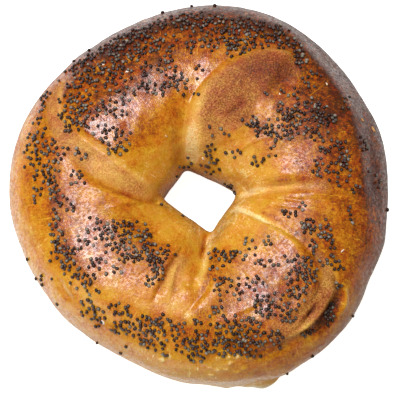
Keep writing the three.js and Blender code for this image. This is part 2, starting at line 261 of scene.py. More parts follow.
# Finer wrinkles and seams
FINE_FOLDS = (
    # west crease: the seam at its bottom and the stretched skin beside it
    Fold("crease", 1.0, 0.8, (0, 0.4), ((-10.4, -2.2), (-13, -2.3), (-17.7, -1.8), (-22, -0.5),
         (-26, 1), (-29, 2.4), (-31.5, 5.4))),
    Fold("ridge", 0.4, 1.3, (0.2, 0.3), ((-15, -3.7), (-21.4, -3), (-26, -1.4), (-29.6, 0.4))),
    Fold("ridge", 0.3, 0.8, (0.2, 0.4), ((-15, 1.6), (-21, 4.4), (-27, 7.2))),
    Fold("ridge", 0.35, 0.7, (0.3, 0.2), ((-25.5, -6.2), (-22.4, -5.3), (-19.5, -4.2),
         (-15.1, -2.9))),
    # north crease: where the tongue ends in the right lobe
    Fold("crease", 0.5, 0.9, (0.3, 0.4), ((26.4, 33.5), (24.2, 30.6), (21.2, 28.8), (18.8, 26),
         (16.4, 23.6))),
    Fold("crease", 0.35, 0.8, (0.3, 0.4), TONGUE_SEAM),
    Fold("ridge", 0.3, 0.6, (0.2, 0.4), ((10.2, 10.3), (12.3, 11.9), (15.7, 12.9), (18.9, 14.1))),
    # east crease: fine stretch lines below the band
    Fold("crease", 0.35, 0.5, (0.2, 0.4), ((21, -3.1), (25.1, -3.6), (29, -4.3))),
    Fold("crease", 0.35, 0.5, (0.2, 0.4), ((18.4, -4.2), (20.6, -4.9), (25.9, -5.7), (28, -6))),
    Fold("crease", 0.3, 0.6, (0.2, 0.4), ((16, 1.8), (20, 2.4), (26, 2.6))),
    # the last lobe: a torn, rough band inside its lip
    Fold("lap", 0.5, 1.2, (0.3, 0.3), ((29.5, -21), (31.2, -25.6), (29.5, -29.9), (24.6, -34.7),
         (21.4, -39.3)), side=-1, reach=3, dip=0.3),
    Fold("crease", 0.9, 0.8, (0.2, 0.3), ((29.8, -32.4), (28.6, -34), (27.5, -35.6), (25.4, -37.5),
         (22.5, -39.2))),
    Fold("ridge", 0.7, 0.6, (0.3, 0.3), ((37.8, -26.6), (38.4, -28.6), (38.2, -30.8), (37, -33.6))),
    Fold("ridge", 0.3, 0.7, (0.1, 0.3), ((8.8, -5.2), (14.2, -8.7), (22, -13.4), (27.2, -18))),
    Fold("ridge", 0.25, 0.5, (0.3, 0.3), ((7.6, -34.4), (11.4, -33.2), (15.4, -31.2))),
    Fold("ridge", 0.15, 0.4, (0.4, 0.4), ((9.6, -21), (11.6, -24.6), (12.6, -27.4))),
    Fold("ridge", 0.15, 0.4, (0.4, 0.4), ((14, -22.6), (16.4, -26), (17.4, -28.6))),
    Fold("crease", 0.3, 0.8, (0.3, 0.3), ((24, -42.2), (18.6, -44.4), (14, -46))),
    # south crease and pleats
    Fold("crease", 1.8, 1.1, (0, 0.5), ((1.7, -8.8), (0.7, -11.6), (0.2, -14.6), (-0.2, -17.4),
         (-0.9, -20.4))),
    Fold("ridge", 0.4, 1.4, (0.3, 0.4), ((-4.9, -18.5), (-6.6, -22.6), (-8.6, -27), (-10, -31.5))),
    Fold("crease", 0.6, 0.6, (0.3, 0.5), ((-4.8, -19.4), (-6, -21.6), (-6.7, -24.2), (-7, -26.4),
         (-7.4, -29), (-8.4, -34))),
    Fold("crease", 0.7, 0.6, (0.2, 0.2), ((-4.9, -26), (-4.1, -26.4), (-3.2, -26.6), (-2.2, -26.2),
         (-1.2, -25.2))),
    Fold("ridge", 0.3, 0.7, (0.3, 0.3), ((-1.2, -21.5), (-0.8, -25), (-1.6, -28.4))),
    # lower left: shallow creases of the outside
    Fold("valley", 0.5, 0.9, (0.3, 0.3), OUTER_CREASE),
    Fold("valley", 0.25, 0.8, (0.4, 0.4), ((-44, -21.6), (-41.6, -23.4), (-37.6, -23.6))),
)

# Small raised or sunk spots: plan place, radius, height
KNOBS = (
    (-3, -24.2, 1.5, 0.5), (-1.5, -26.7, 0.9, -0.8), (-3.4, -28.6, 1.6, 0.6),
    (28.6, -34.3, 0.8, -0.8), (22.6, 28.6, 3, -0.6), (-6.4, -0.6, 2.6, 0.4),
)
# Small blisters of the glaze on the front, in the same way
BLISTERS = (
    (7.1, -45.2, 0.7, 0.5), (9.3, -45.1, 0.8, 0.5), (7.5, -46.6, 0.7, 0.45), (4.3, -48.2, 0.6, 0.4),
    (6.6, -48.2, 0.6, 0.35), (11.3, -48, 0.6, 0.4), (12.7, -45.6, 0.6, 0.35),
    (2.2, -47.6, 0.6, 0.35), (6.3, -43.8, 0.6, 0.4), (2.5, -49.4, 0.6, 0.35),
    (9.6, -48.8, 0.6, 0.35), (0.8, -46.8, 0.5, 0.3), (-10.4, -45.6, 0.8, 0.5),
    (4.4, -45.4, 0.5, 0.3),
)
BLISTER_PALENESS = -1.2  # how pale they are for each millimetre that they stand up

# The ragged lip that was pressed out at the foot: angle, tightness, millimetres
FOOT_LIPS = (
    (288, 1000, 1.6), (291, 300, 2.6), (295, 160, 3.1), (284, 1500, 1.2), (278, 3000, 0.5),
    (262, 900, 0.4), (255, 900, 0.3),
)
FOOT_LIP_TOP = 7        # how high up the lip fades out
OUTLINE_STEPS = 1440    # how finely the outline is followed to find its middle


class Ring:
    """The ring's smooth form, and the folds on it, in millimetres."""

    def __init__(self, sizes):
        self.outer = sizes.outer_radius / MM
        self.height = sizes.height / MM
        self.waist = sizes.waist_height / MM
        self.sink = sizes.foot_sink / MM
        self.hole_scale = sizes.hole_scale

    def hole_radius(self, angle):
        """Plan radius of the hole, which has four uneven sides, tight corners and a blunt one."""
        facing = [np.cos(angle - math.radians(way)) / off for way, off in HOLE_SIDES]
        total = sum(np.maximum(part, 0) ** HOLE_SQUARENESS for part in facing)
        return self.hole_scale * total ** (-1 / HOLE_SQUARENESS)

    def outside_radius(self, angle):
        """Plan radius of the outline, with its swells."""
        return self.outer + sum_of_humps(angle, OUTLINE_SWELLS)

    def smooth(self, angle, turn):
        """Plan radius, height and outward normal of the smooth ring.

        turn goes round the section, from the outer waist over the crown.
        """
        inner, outside = self.hole_radius(angle), self.outside_radius(angle)
        middle, half = (outside + inner) / 2, (outside - inner) / 2
        c, s = np.cos(turn), np.sin(turn)
        above = s >= 0
        skirt = SKIRT_EXTRA_POWER * hump(angle, SKIRT_ANGLE, SKIRT_TIGHTNESS)
        flat = np.where(c > 0, sum_of_humps(angle, SIDE_FLATS), 0)
        power = np.where(above, CROWN_POWER - flat, BASE_POWER + np.where(c > 0, skirt, 0))
        crown = self.height - self.waist + sum_of_humps(angle, CROWN_SWELLS)
        rise = np.where(above, crown, self.waist + self.sink)
        across = np.sign(c) * np.abs(c) ** (2 / power)
        up = np.sign(s) * np.abs(s) ** (2 / power)
        out = np.sign(across) * np.abs(across) ** (power - 1) / half
        lift = np.sign(up) * np.abs(up) ** (power - 1) / rise
        length = np.hypot(out, lift)
        lean = sum_of_humps(angle, CROWN_LEANS) * np.maximum(up, 0) ** 2
        return middle + half * across + lean, self.waist + rise * up, out / length, lift / length

    def points(self, angle, turn, folds):
        """Points of the folded crust, one row each, and the height of the smooth ring there."""
        radius, height, out, lift = self.smooth(angle, turn)
        x, y = radius * np.cos(angle), radius * np.sin(angle)
        strength = smoothstep(height - self.waist, *FOLD_FADE)
        spots = round_spots(KNOBS + BLISTERS, x, y, height, self.waist)
        relief = strength * (sum(fold.lift(x, y) for fold in folds) + spots)
        lips = sum_of_humps(angle, FOOT_LIPS) * (1 - smoothstep(height, 0, FOOT_LIP_TOP)) * (out > 0)
        reach = radius + relief * out + lips
        z = np.maximum(0, height + relief * lift)
        return np.stack([reach * np.cos(angle), reach * np.sin(angle), z], -1), height

    def shift(self):
        """The plan offset that puts the middle of the ring's box on the frame's origin."""
        angle = np.linspace(0, 2 * math.pi, OUTLINE_STEPS, endpoint=False)
        radius = self.outside_radius(angle)
        x, y = radius * np.cos(angle), radius * np.sin(angle)
        return -np.array([(x.min() + x.max()) / 2, (y.min() + y.max()) / 2, 0])


def round_spots(spots, x, y, height, waist):
    """How far small round spots of the upper side rise, or sink, at points of the smooth ring."""
    total = np.zeros_like(x)
    for spot_x, spot_y, radius, rise in spots:
        far = (x - spot_x) ** 2 + (y - spot_y) ** 2
        middle = height[np.argmin(np.where(height > waist, far, np.inf))]
        total += rise * np.exp(-((far + (height - middle) ** 2) / radius ** 2))
    return total


# ---------------------------------------------------------------- how far each place is baked, with painted shade and light added

# Soft spots, darker above 0 and paler below:
# how much, middle in plan, half length, half width, turn in degrees
BAKE_SPOTS = (
    # the back rim and the upper lobe
    (0.26, (-10, 43), 28, 8, 8), (-0.10, (-27, 33), 12, 8, 35), (0.20, (-30, 29), 13, 9, 35),
    (0.08, (-14, 30), 8, 4, 10), (0.08, (-20, 22), 6, 8, 40), (0.10, (-16, 14), 5, 4, 30),
    (-0.12, (-24, 5), 14, 4, 28),
    # the tongue
    (0.10, (8, 25), 9, 6, 50), (0.20, (18, 31.5), 8, 5, -5), (0.07, (20, 33), 8, 5, -15),
    # the right lobe, its shoulder and the side below it
    (0.26, (33, 24), 11, 9, -50), (0.16, (39, 22), 13, 4, -60), (0.08, (31, 14), 7, 9, 0),
    (0.20, (43, 6), 12, 6, -80), (0.10, (38, -8), 10, 6, -80), (0.10, (31, -33), 6, 12, 45),
    # the left flank and the lower lobe
    (-0.02, (-46, 2), 6, 24, 0), (0.07, (-36, -1), 6, 5, 0), (-0.06, (-22, 1), 8, 3, 20),
    (-0.06, (-20, -6), 12, 5, -35), (0.10, (-18, -8), 6, 4, -30), (0.07, (-30, -11), 7, 6, -50),
    (0.06, (-27, -20), 10, 6, -35), (-0.06, (-20, -24), 9, 6, -30), (0.09, (-21, -25), 9, 6, -35),
    (-0.08, (-30, -27), 12, 5, -35), (-0.07, (-28, -30), 24, 13, -40),
    (-0.05, (-26, -32), 20, 9, -40),
    # round the hole
    (-0.18, (11, -11), 9, 8, 0), (-0.12, (15, 4), 8, 6, 0), (-0.07, (18, 0), 10, 4, 0),
    (-0.10, (10, 8), 7, 6, 0), (-0.08, (1, -17), 4, 9, 0),
    # the pleats and the front of the rim
    (-0.14, (-7, -27), 8, 6, 70), (0.04, (14, -40), 16, 6, 8), (-0.16, (-6, -47.5), 20, 6, 0),
    (0.10, (17, -46), 9, 4, 10), (-0.08, (4, -51), 30, 4, 0),
)
# Strokes in the same way: stretched or folded dough stays pale, some seams bake dark, some are painted
# shade in creases, hollows and under lapping edges, and some are painted darker under the highlights.
# How much, half width at the start and end, fades, path
BAKE_AND_SHADE_STROKES = (
    # the first four run along the crests under the highlights: browner crests, and painted darker there
    # so the highlights look whiter
    (0.14, (5, 4), (0.2, 0.3), ((-30, 11), (-28, 17), (-22, 25), (-13, 32), (-4, 36))),
    (0.13, (4, 5), (0.2, 0.3), ((-35, 6), (-36.5, -3), (-35.5, -11), (-31, -19), (-23, -25))),
    (0.11, (5, 5), (0.3, 0.3), ((6, -30), (14, -28), (22, -22), (27, -14))),
    (0.09, (4, 4), (0.3, 0.3), ((27, -6), (29, 2), (28, 10), (25, 16))),
    (-0.11, (1.3, 2.2), (0.2, 0.1), ((-38.5, 31.5), (-39.9, 26), (-39.4, 19), (-36.6, 14.6))),
    (-0.11, (3.2, 2.0), (0.2, 0.3), ((-36.6, 14.6), (-33.2, 10.7), (-28.6, 6.6), (-22, 2.7),
     (-16, 0.1))),
    (-0.30, (2.6, 1.4), (0.1, 0.4), ((-1.9, 8.5), (-2.2, 12), (-2.2, 16), (-1.9, 20.5),
     (-0.4, 24.6), (2, 28.4), (5.6, 32))),
    (-0.14, (1.2, 1.2), (0.3, 0.3), ((4, 32), (10.5, 36), (17, 38), (23.4, 37.8), (26, 35.4))),
    (-0.16, (0.8, 1.4), (0.2, 0.4), EAST_BAND),
    (-0.30, (0.8, 1.0), (0.1, 0.2), ((8, -3.8), (13.6, -7.2), (18.7, -10.6), (23.8, -14.6),
     (27.4, -19))),
    (-0.30, (0.5, 0.6), (0.2, 0.3), ((32, -19.4), (35.4, -22.6), (36.2, -25.4), (34.8, -28.6),
     (32.4, -32.6), (29.6, -35.8), (26.4, -38.4), (22.6, -40.4), (16, -43.6))),
    (-0.10, (1.2, 3.2), (0.2, 0.2), LIP_BAND),
    # painted shade in the torn crevice inside the last lobe's lip
    (0.40, (0.7, 0.5), (0.3, 0.4), ((30.6, -30.6), (29.4, -32.6), (28, -34.2), (25.4, -36.6))),
    (-0.35, (0.5, 0.5), (0.2, 0.3), ((38.4, -25.6), (38.9, -28.4), (38.5, -30.6), (37.3, -32.6))),
    (-0.30, (0.9, 1.0), (0.1, 0.3), ((2.2, -10.6), (1.9, -15.3), (1.1, -19.6), (0.2, -23.4),
     (-1.4, -27), (-3.6, -30.2))),
    # painted shade: the dark line down the south crease
    (0.46, (0.5, 0.6), (0.0, 0.4), ((1.9, -9.2), (0.9, -11.6), (0.3, -15.3), (-0.3, -18.8))),
    (-0.30, (1.3, 0.9), (0.1, 0.4), ((-3, 7.6), (-3.2, 10.8), (-3.2, 15), (-2.8, 19))),
    (-0.10, (0.7, 0.8), (0.1, 0.4), ((9.6, 0.1), (13.7, 0.2), (19, 0.4))),
    (-0.20, (0.6, 0.7), (0.1, 0.4), ((8.6, -4), (13.6, -7.1), (18.7, -10.4))),
    (-0.12, (0.8, 0.9), (0.3, 0.4), ((-2.2, -17), (-3.4, -22), (-4.8, -27.6), (-5.6, -31.6))),
    (-0.10, (0.8, 1.2), (0.3, 0.4), ((-5, -18), (-7.6, -24), (-9, -28.6), (-10.4, -33))),
    # painted shade along the bottom of the west crease
    (0.14, (0.7, 1.1), (0.1, 0.4), ((-12, -3.2), (-17.7, -2.6), (-22, -1.4), (-26, 0), (-29, 1.6),
     (-31, 4))),
    # painted shade along the tongue's seam, and in the next stroke along its shaded right edge
    (0.14, (0.8, 0.8), (0.3, 0.4), TONGUE_SEAM),
    (0.07, (0.7, 0.8), (0.3, 0.3), ((16.4, 23.6), (18.8, 26), (21.2, 28.8), (26.4, 33))),
    (-0.26, (0.8, 0.8), (0.1, 0.2), ((-38.3, 30.4), (-38.6, 24.6), (-37.6, 19.2), (-32.6, 14.6),
     (-28.8, 11.6), (-22.4, 7), (-16, 2.6), (-11.8, 0.3))),
    # painted shade under the right lobe's edge, above the east band
    (0.16, (0.7, 0.7), (0.2, 0.4), ((18, 1.9), (24, 1.9), (30, 2.4))),
    # painted shade in the crease beside the lapping edge over the narrow lobe
    (0.18, (0.7, 0.8), (0.2, 0.3), ((14.4, -5.6), (19.8, -8.8), (25, -12.8), (28.4, -16.6))),
    (0.15, (1.3, 0.8), (0.2, 0.4), ((3.6, -16.6), (2.8, -21.2), (1.7, -25.4), (-0.4, -29.4),
     (-3.4, -32.6))),
    (0.20, (0.5, 0.5), (0.2, 0.4), ((-5.4, -20.5), (-6.7, -24.4), (-7.2, -28), (-7.8, -31))),
    (0.14, (0.8, 0.6), (0.2, 0.4), ((-7.6, -19), (-9.6, -23.6), (-11.6, -28), (-13.2, -31.5))),
    (0.12, (0.8, 0.8), (0.3, 0.3), OUTER_CREASE),
    # painted shade in the hollow outside the last lobe's lip
    (0.34, (1.5, 1.5), (0.3, 0.3), ((37, -26.8), (36, -30), (34.2, -33), (31.6, -36),
     (28.6, -38.6))),
)
# How the outside is darker or paler round the ring, partly baking, partly painted shade on the back and
# right, away from the side light, and painted light on the lit left: angle, tightness, how much
RIM_BAKES_AND_SHADE = (
    (55, 3, 0.40), (8, 8, 0.24), (102, 9, 0.45), (342, 8, 0.08), (315, 10, -0.02), (215, 1.2, -0.08),
)
RIM_SHARES = (0.5, 0.8)     # it sets in between these shares of the way out
RIM_HEIGHTS = (3, 15)       # and between these heights
USUAL_BAKE = 0.54
# painted shade of the seeds, with deeper browning, darkens the crust under thick seed
DRIFT_BROWNING_AND_SHADE = 0.12       # how much darker the crust is under thick seed
DRIFT_EDGE = 0.8            # how far beside it that reaches
GOLD_REACH = (9, 21)        # the thinly baked gold round the hole ends between these radii
GOLD_AMOUNT = -0.28
CROWN_FADE = 8              # strokes and bare dough are full this high above the waist
FOOT_PALENESS = -0.18       # next to the tray the crust stays light
FOOT_FADE = (1.5, 6)
FRONT_ANGLE = 276           # and more so in front
FRONT_FOOT_PALENESS = -0.5
FRONT_FOOT_TIGHTNESS = 14
FRONT_FOOT_FADE = (3, 13)
# The dull tan of the sides ends between these heights and shares of the way out
TAN_HEIGHTS = (15, 27)
TAN_SHARES = (0.3, 0.7)
TAN_BASE = (2, 7)           # the base is tan all over, up to here
FRONT_GOLD = 0.95           # the front of the side is golden instead
FRONT_TIGHTNESS = 7
SIDE_RISE = 5               # and the front right is dull up to this much higher
SIDE_RISE_ANGLE = 330
SIDE_RISE_TIGHTNESS = 40

# Bare dough, dull and grainy: the tongue, the bands beside the creases and the last lobe's lip,
# in strokes as above
MATT_STROKES = (
    (1.0, (3.4, 7.0), (0.0, 0.0), ((-1.2, 9), (-1.2, 12.6), (2, 18), (7, 23.6))),
    (1.0, (7.0, 5.8), (0.0, 0.0), ((7, 23.6), (12.6, 29), (18.5, 33), (21.4, 33.6))),
    (0.8, (1.8, 3.2), (0.1, 0.1), ((-38.6, 31.5), (-40, 25), (-39, 18), (-34.4, 11.6),
     (-29.6, 7.3))),
    (0.9, (3.4, 2.4), (0.0, 0.2), ((-29.6, 7.3), (-24, 3.9), (-18.6, 1.2), (-12, -1))),
    (0.7, (1.2, 1.8), (0.1, 0.3), EAST_BAND),
    (1.0, (1.2, 3.4), (0.1, 0.1), LIP_BAND),
    (0.7, (1.2, 1.4), (0.1, 0.2), ((33.3, -22.9), (35.4, -26.4), (34, -30), (30.6, -35),
     (26, -38.8), (20, -41.6))),
    (0.75, (1.8, 3.4), (0.2, 0.3), ((-4.6, -17.5), (-7.4, -24), (-9.4, -30))),
    (0.6, (1.0, 0.9), (0.2, 0.3), ((2.3, -15.3), (1.3, -19.6), (0.3, -23.4), (-1.3, -27))),
)
# How crisp the edges of matt dough and of the browned strokes are
MATT_EDGE = 5
STROKE_EDGE = 2.5

# Where the glaze dried duller, or shinier below 0: spots as above
DRY_SPOTS = (
    (-0.13, (-26, 19), 8, 6, 35), (-0.14, (-26, 5), 14, 4, 30), (0.10, (8, 42), 30, 6, 0),
    (0.26, (-31, -1), 5, 6, 0), (0.14, (-37, -1), 6, 9, 0), (0.34, (-15, -24), 9, 6.5, -30),
    (0.24, (-5, -27), 8, 7, 70), (-0.10, (-8, -25), 8, 6, 70), (0.18, (14, -23), 12, 8, 10),
    (0.26, (17, -13), 6, 6, 0), (0.22, (25, -9), 9, 6, -20), (0.16, (15, 2), 6, 5, 0),
    (0.32, (20, 14), 10, 9, 60), (0.30, (30, 17), 8, 7, 0),
)


def spot_at(spot, x, y):
    """A soft oval spot: its amount at the middle, and fading out."""
    amount, (cx, cy), long, short, turn = spot
    c, s = math.cos(math.radians(turn)), math.sin(math.radians(turn))
    along = ((x - cx) * c + (y - cy) * s) / long
    across = ((y - cy) * c - (x - cx) * s) / short
    return amount * np.exp(-(along ** 2 + across ** 2))


def stroke_at(stroke, x, y, edge=STROKE_EDGE):
    """A stroke along a path: its amount on the path, and fading out past its half width."""
    amount, (start, end), fades, path = stroke
    near, distance, _side, share = nearest_on(walk(path), x, y, FAR * max(start, end))
    width = start + (end - start) * share
    result = np.zeros_like(x)
    result[near] = amount * fade(share, fades) * np.exp(-((distance / width) ** edge))
    return result


def crown_share(height, ring):
    """0 up to the waist and 1 on the crown."""
    return smoothstep(height, ring.waist, ring.waist + CROWN_FADE)


def bake_and_shade_at(x, y, height, ring, across):
    """How dark the crust is, from 0 for raw-looking cream to 1 for dark brown: how far it is baked, with
    painted shade and light added in places.

    across runs from -1 at the hole to 1 at the outline.
    """
    angle = np.arctan2(y, x)
    rim = smoothstep(across, *RIM_SHARES) * smoothstep(height, *RIM_HEIGHTS)
    # darker at the back and right outside and paler on the left: baking, with painted shade on the sides
    # away from the side light and painted light on the lit side
    level = USUAL_BAKE + rim * sum_of_humps(angle, RIM_BAKES_AND_SHADE)
    level += GOLD_AMOUNT * (1 - smoothstep(np.hypot(x, y), *GOLD_REACH))
    level += sum(spot_at(spot, x, y) for spot in BAKE_SPOTS)
    top = crown_share(height, ring)
    # strokes of pale dough and dark seams, with painted shade in creases, hollows and under lapping
    # edges, and painted darkening under the highlights
    level += top * sum(stroke_at(stroke, x, y) for stroke in BAKE_AND_SHADE_STROKES)
    # painted shade of the seeds, with deeper browning, under thick seed
    level += top * DRIFT_BROWNING_AND_SHADE * np.minimum(1, sum(drift_at(d, x, y) for d in all_drifts()))
    level += FOOT_PALENESS * (1 - smoothstep(height, *FOOT_FADE))
    front = hump(angle, FRONT_ANGLE, FRONT_FOOT_TIGHTNESS)
    level += FRONT_FOOT_PALENESS * front * (1 - smoothstep(height, *FRONT_FOOT_FADE))
    level += BLISTER_PALENESS * round_spots(BLISTERS, x, y, height, ring.waist)
    return np.clip(level, 0, 1)


def matt_at(x, y, height, ring):
    """How bare and grainy the dough is, from 0 to 1."""
    strokes = sum(stroke_at(stroke, x, y, MATT_EDGE) for stroke in MATT_STROKES)
    return np.clip(crown_share(height, ring) * strokes, 0, 1)


def tan_at(x, y, z, across):
    """The duller tan of the sides and the base, from 0 to 1."""
    angle = np.arctan2(y, x)
    rise = SIDE_RISE * hump(angle, SIDE_RISE_ANGLE, SIDE_RISE_TIGHTNESS)
    low = 1 - smoothstep(z - rise, *TAN_HEIGHTS)
    low = low * (1 - FRONT_GOLD * hump(angle, FRONT_ANGLE, FRONT_TIGHTNESS))
    return np.clip(low * smoothstep(across, *TAN_SHARES) + (1 - smoothstep(z, *TAN_BASE)), 0, 1)


# ---------------------------------------------------------------- drifts of poppy seed

# From x, y to x, y, half width and how many seeds, by part of the crown
SEED_DRIFTS = {
    "back rim": (
        (-36, 33.6, -26.8, 40.4, 1.4, 20), (-26.3, 39.6, -13, 44.8, 1.9, 42),
        (-13.2, 46.1, 2.9, 49, 2, 35), (-3.9, 46.4, 10.7, 45.4, 2.2, 32),
        (10.7, 46.8, 22, 44.8, 1.6, 28), (14, 42, 27, 40, 1.7, 26), (1.5, 42.2, 15, 41, 2.5, 30),
        (-24.5, 37.2, -8, 39.5, 2.5, 40), (26, 39, 27.5, 34.5, 1.1, 12),
    ),
    "upper lobe": (
        (-34, 31.5, -21.5, 34.5, 2.2, 32), (-37, 25.5, -29.5, 29.5, 2.6, 28),
        (-37.5, 18.5, -29.5, 22, 2.4, 36), (-37, 16, -30.5, 16, 1, 10),
        (-28, 29.3, -18.5, 31.5, 2.6, 26), (-26.5, 24, -18.5, 26.5, 1.9, 10),
        (-17.5, 26.5, -9, 26, 1.8, 18), (-16, 33, -6.5, 32.8, 2.2, 20),
        (-9, 28.5, -4, 27.5, 1.7, 16), (-2.5, 31, 2, 31, 1.7, 4), (-4, 39.2, 4.5, 39, 1.7, 14),
        (7, 37.6, 12.5, 39, 1.7, 12), (-28.5, 15, -20.5, 12.5, 2.4, 22),
        (-25, 10, -20.5, 9.6, 1.1, 10), (-28, 20, -20, 21, 2.4, 14), (-36, 11, -30, 7.5, 1, 7),
        (-2, 25.5, 1, 23, 0.6, 2),
    ),
    "left flank": (
        (-42.5, 28.5, -44.5, 18, 0.8, 14), (-45, 15, -44, 6, 2.2, 32),
        (-41.5, 12.5, -38.5, 7.5, 1.7, 16), (-45.5, 5, -44, -3.5, 1.1, 9),
        (-42, 6, -39.5, -2.5, 1.9, 26), (-35.5, 2, -31, 2, 1.4, 9), (-39, -4, -34, -5.5, 1.4, 10),
        (-39, -8, -37.5, -16, 1.4, 20), (-39.5, -17.8, -33.5, -18.2, 1.7, 18),
        (-36.5, -20.5, -31.5, -24, 1.4, 17), (-33, -25, -27.5, -26.7, 1.7, 15),
        (-43.5, -19.5, -41.5, -25.5, 1.7, 5),
    ),
    "lower lobe": (
        (-29.5, -10.5, -23, -13, 1.7, 20), (-25.5, -10.5, -16, -12, 1.7, 22),
        (-26, -15, -18, -16, 1.9, 26), (-20.5, -18.5, -16, -19, 1.1, 14),
        (-15.5, -12, -13.5, -17, 1.4, 14), (-14.5, -17.5, -10.5, -23, 1.4, 26),
        (-9.5, -17, -8.5, -19.5, 1.1, 8), (-13, -24.5, -12, -27, 1.7, 9),
        (-30, -21, -21, -22, 1.8, 16), (-30.5, -13.5, -29, -16.5, 1.7, 7),
    ),
    "front rim": (
        (-31.5, -31, -26, -33.8, 1.9, 16), (-29, -35.3, -26.5, -36, 0.8, 5),
        (-25, -32, -17, -34, 1.4, 15), (-23, -37, -16, -38.4, 1.4, 22),
        (-17, -37, -10.5, -36.4, 1.7, 24), (-15.5, -39.5, -12.5, -41.5, 1.4, 12),
        (-11.5, -38.5, -5, -39, 1.9, 18), (-10.5, -43, -5.5, -43.2, 1.7, 10),
        (-3, -41, -1, -45.5, 1.6, 24), (-2, -38, 4, -37, 2, 13), (0, -41.8, 7, -42.6, 1.8, 30),
        (5, -38.4, 10.5, -37.4, 1.9, 22), (9, -42, 14.5, -42.4, 1.8, 34),
        (12, -37, 16, -38.5, 1.6, 13), (16.5, -40, 20.5, -40.5, 1.4, 12),
    ),
    "last lobe": (
        (3.5, -18, 8.5, -19, 1.1, 20), (3, -21, 5, -22.5, 1.4, 4), (11.5, -14, 20, -15.5, 1.4, 9),
        (11, -17.5, 18, -22, 1.4, 13), (6.5, -26.5, 12, -28.5, 1.9, 16),
        (13.5, -26.5, 15.5, -26, 1.4, 6), (14, -30, 18.5, -32, 1.4, 12),
        (20.5, -20, 29, -20, 1.1, 9), (26.5, -21, 29, -26, 1.7, 25),
        (23.5, -23, 25, -24.5, 1.7, 10), (22.5, -28, 27.5, -28, 1.7, 15),
        (18.5, -31, 23.5, -32, 1.7, 14), (20, -34.5, 24.5, -34.3, 1.4, 12),
        (17, -32.5, 17, -35.5, 1.4, 8), (3.5, -25.5, 6, -31, 1.3, 8),
        (1.5, -33.5, 6.5, -35, 1.4, 7), (34, -31, 34, -35.5, 0.8, 14),
        (31.5, -36, 26, -40.5, 0.6, 6),
    ),
    "narrow lobe": (
        (20.5, -7, 25.5, -8.5, 0.8, 7), (26, -5.5, 28, -6, 0.8, 4), (27.5, -9, 29.5, -13, 1.6, 18),
        (32.5, -10, 34.5, -16.5, 1.4, 17), (30.5, -17, 28, -15, 1.1, 6),
        (33, -19, 37.5, -22, 1.7, 13), (37.5, -5.5, 41.5, -9, 1.7, 5), (36.5, -25, 36, -27, 0.8, 4),
    ),
    "right lobe": (
        (12.5, 18.5, 17, 15, 1.4, 15), (17, 16.5, 21.5, 13, 1.4, 16), (22, 19, 24.5, 14, 1.7, 19),
        (24.5, 21.5, 27, 17.5, 1.7, 17), (17.5, 26, 26, 25.5, 1.4, 7), (28, 27.5, 31.5, 32, 1.4, 9),
        (29, 23.5, 33, 20, 1.7, 13), (29.5, 17.5, 35, 19.5, 1.7, 17), (28.5, 14, 33, 14.5, 1.7, 12),
        (32, 10.5, 33.5, 9.5, 1.4, 7), (36.5, 12.5, 39.5, 7, 1.1, 13),
        (36, 7.5, 39.5, 4.5, 1.1, 10), (31.5, 6.5, 31, 2.5, 1.1, 8), (34, 3.5, 37, 2, 1.4, 8),
        (39, 0, 42, -1, 1.1, 4), (21, 23, 21, 20, 0.8, 4), (39, 26, 39.5, 21.5, 1.1, 4),
        (44, 14, 44.5, 10.5, 0.8, 4), (46.5, 4.5, 49.5, 1.5, 0.8, 3),
    ),
    "by the hole": (
        (1.5, 15, 8.5, 16, 1.4, 5), (1.5, 11.5, 3.5, 10, 1.4, 10), (4, 13, 9.5, 9, 1.7, 5),
        (13, 9.5, 15, 6.5, 1.7, 6), (17, 10.5, 20, 9.5, 1.1, 4), (1, 8, 4.5, 8, 1.1, 4),
        (-3.5, 11.5, -3.5, 8.5, 0.6, 4), (5.5, 4, 9.5, 1, 0.4, 9), (0, 7, 2.5, 5.5, 0.4, 3),
    ),
}
# How many more seeds some parts of the crown have
THICK_PARTS = {"back rim": 1.3, "upper lobe": 1.05, "left flank": 1.05, "right lobe": 1.15}
SEED_SPACING = 0.80     # least distance between the middles of two seeds on the crust
PILED_SPACING = 0.55    # and of one that lies on others
PILED_SHARE = 0.16
TRIES = 60              # places tried for each seed of a drift
# How far seeds stray from a drift, as shares of its half width: past its ends, within it and
# beside it
STRAY_PAST = 0.5
STRAY_WITHIN = 1.1
STRAY_BESIDE = 0.35
RANDOM_SEED = 20240


def drift_at(drift, x, y):
    """How thickly one drift of seed lies at plan points."""
    x0, y0, x1, y1, half_width, count = drift
    area = 2 * half_width * (math.hypot(x1 - x0, y1 - y0) + half_width)
    reach = half_width + DRIFT_EDGE
    return stroke_at((count / area, (reach, reach), (0, 0), ((x0, y0), (x1, y1))), x, y)


def all_drifts():
    """Every drift, its count raised where its part of the crown is thickly seeded."""
    found = []
    for part, drifts in SEED_DRIFTS.items():
        share = THICK_PARTS.get(part, 1)
        found += [(*drift[:5], round(share * drift[5])) for drift in drifts]
    return found


def drawn_spots(drifts, rng):
    """Plan places drawn along the drifts, and whether each lies on other seeds."""
    spots = []
    for x0, y0, x1, y1, half_width, count in drifts:
        length = math.hypot(x1 - x0, y1 - y0)
        ux, uy = (x1 - x0) / length, (y1 - y0) / length
        placed = 0
        for _ in range(TRIES * count):
            along = length * rng.random() + STRAY_PAST * half_width * rng.standard_normal()
            aside = STRAY_WITHIN * rng.uniform(-1, 1) + STRAY_BESIDE * rng.standard_normal()
            aside *= half_width
            piled = rng.random() < PILED_SHARE
            x, y = x0 + ux * along - uy * aside, y0 + uy * along + ux * aside
            least = PILED_SPACING if piled else SEED_SPACING
            if all(math.hypot(x - sx, y - sy) >= least for sx, sy, _p in spots):
                spots.append((x, y, piled))
                placed += 1
            if placed == count:
                break
    return spots


# ---------------------------------------------------------------- settings


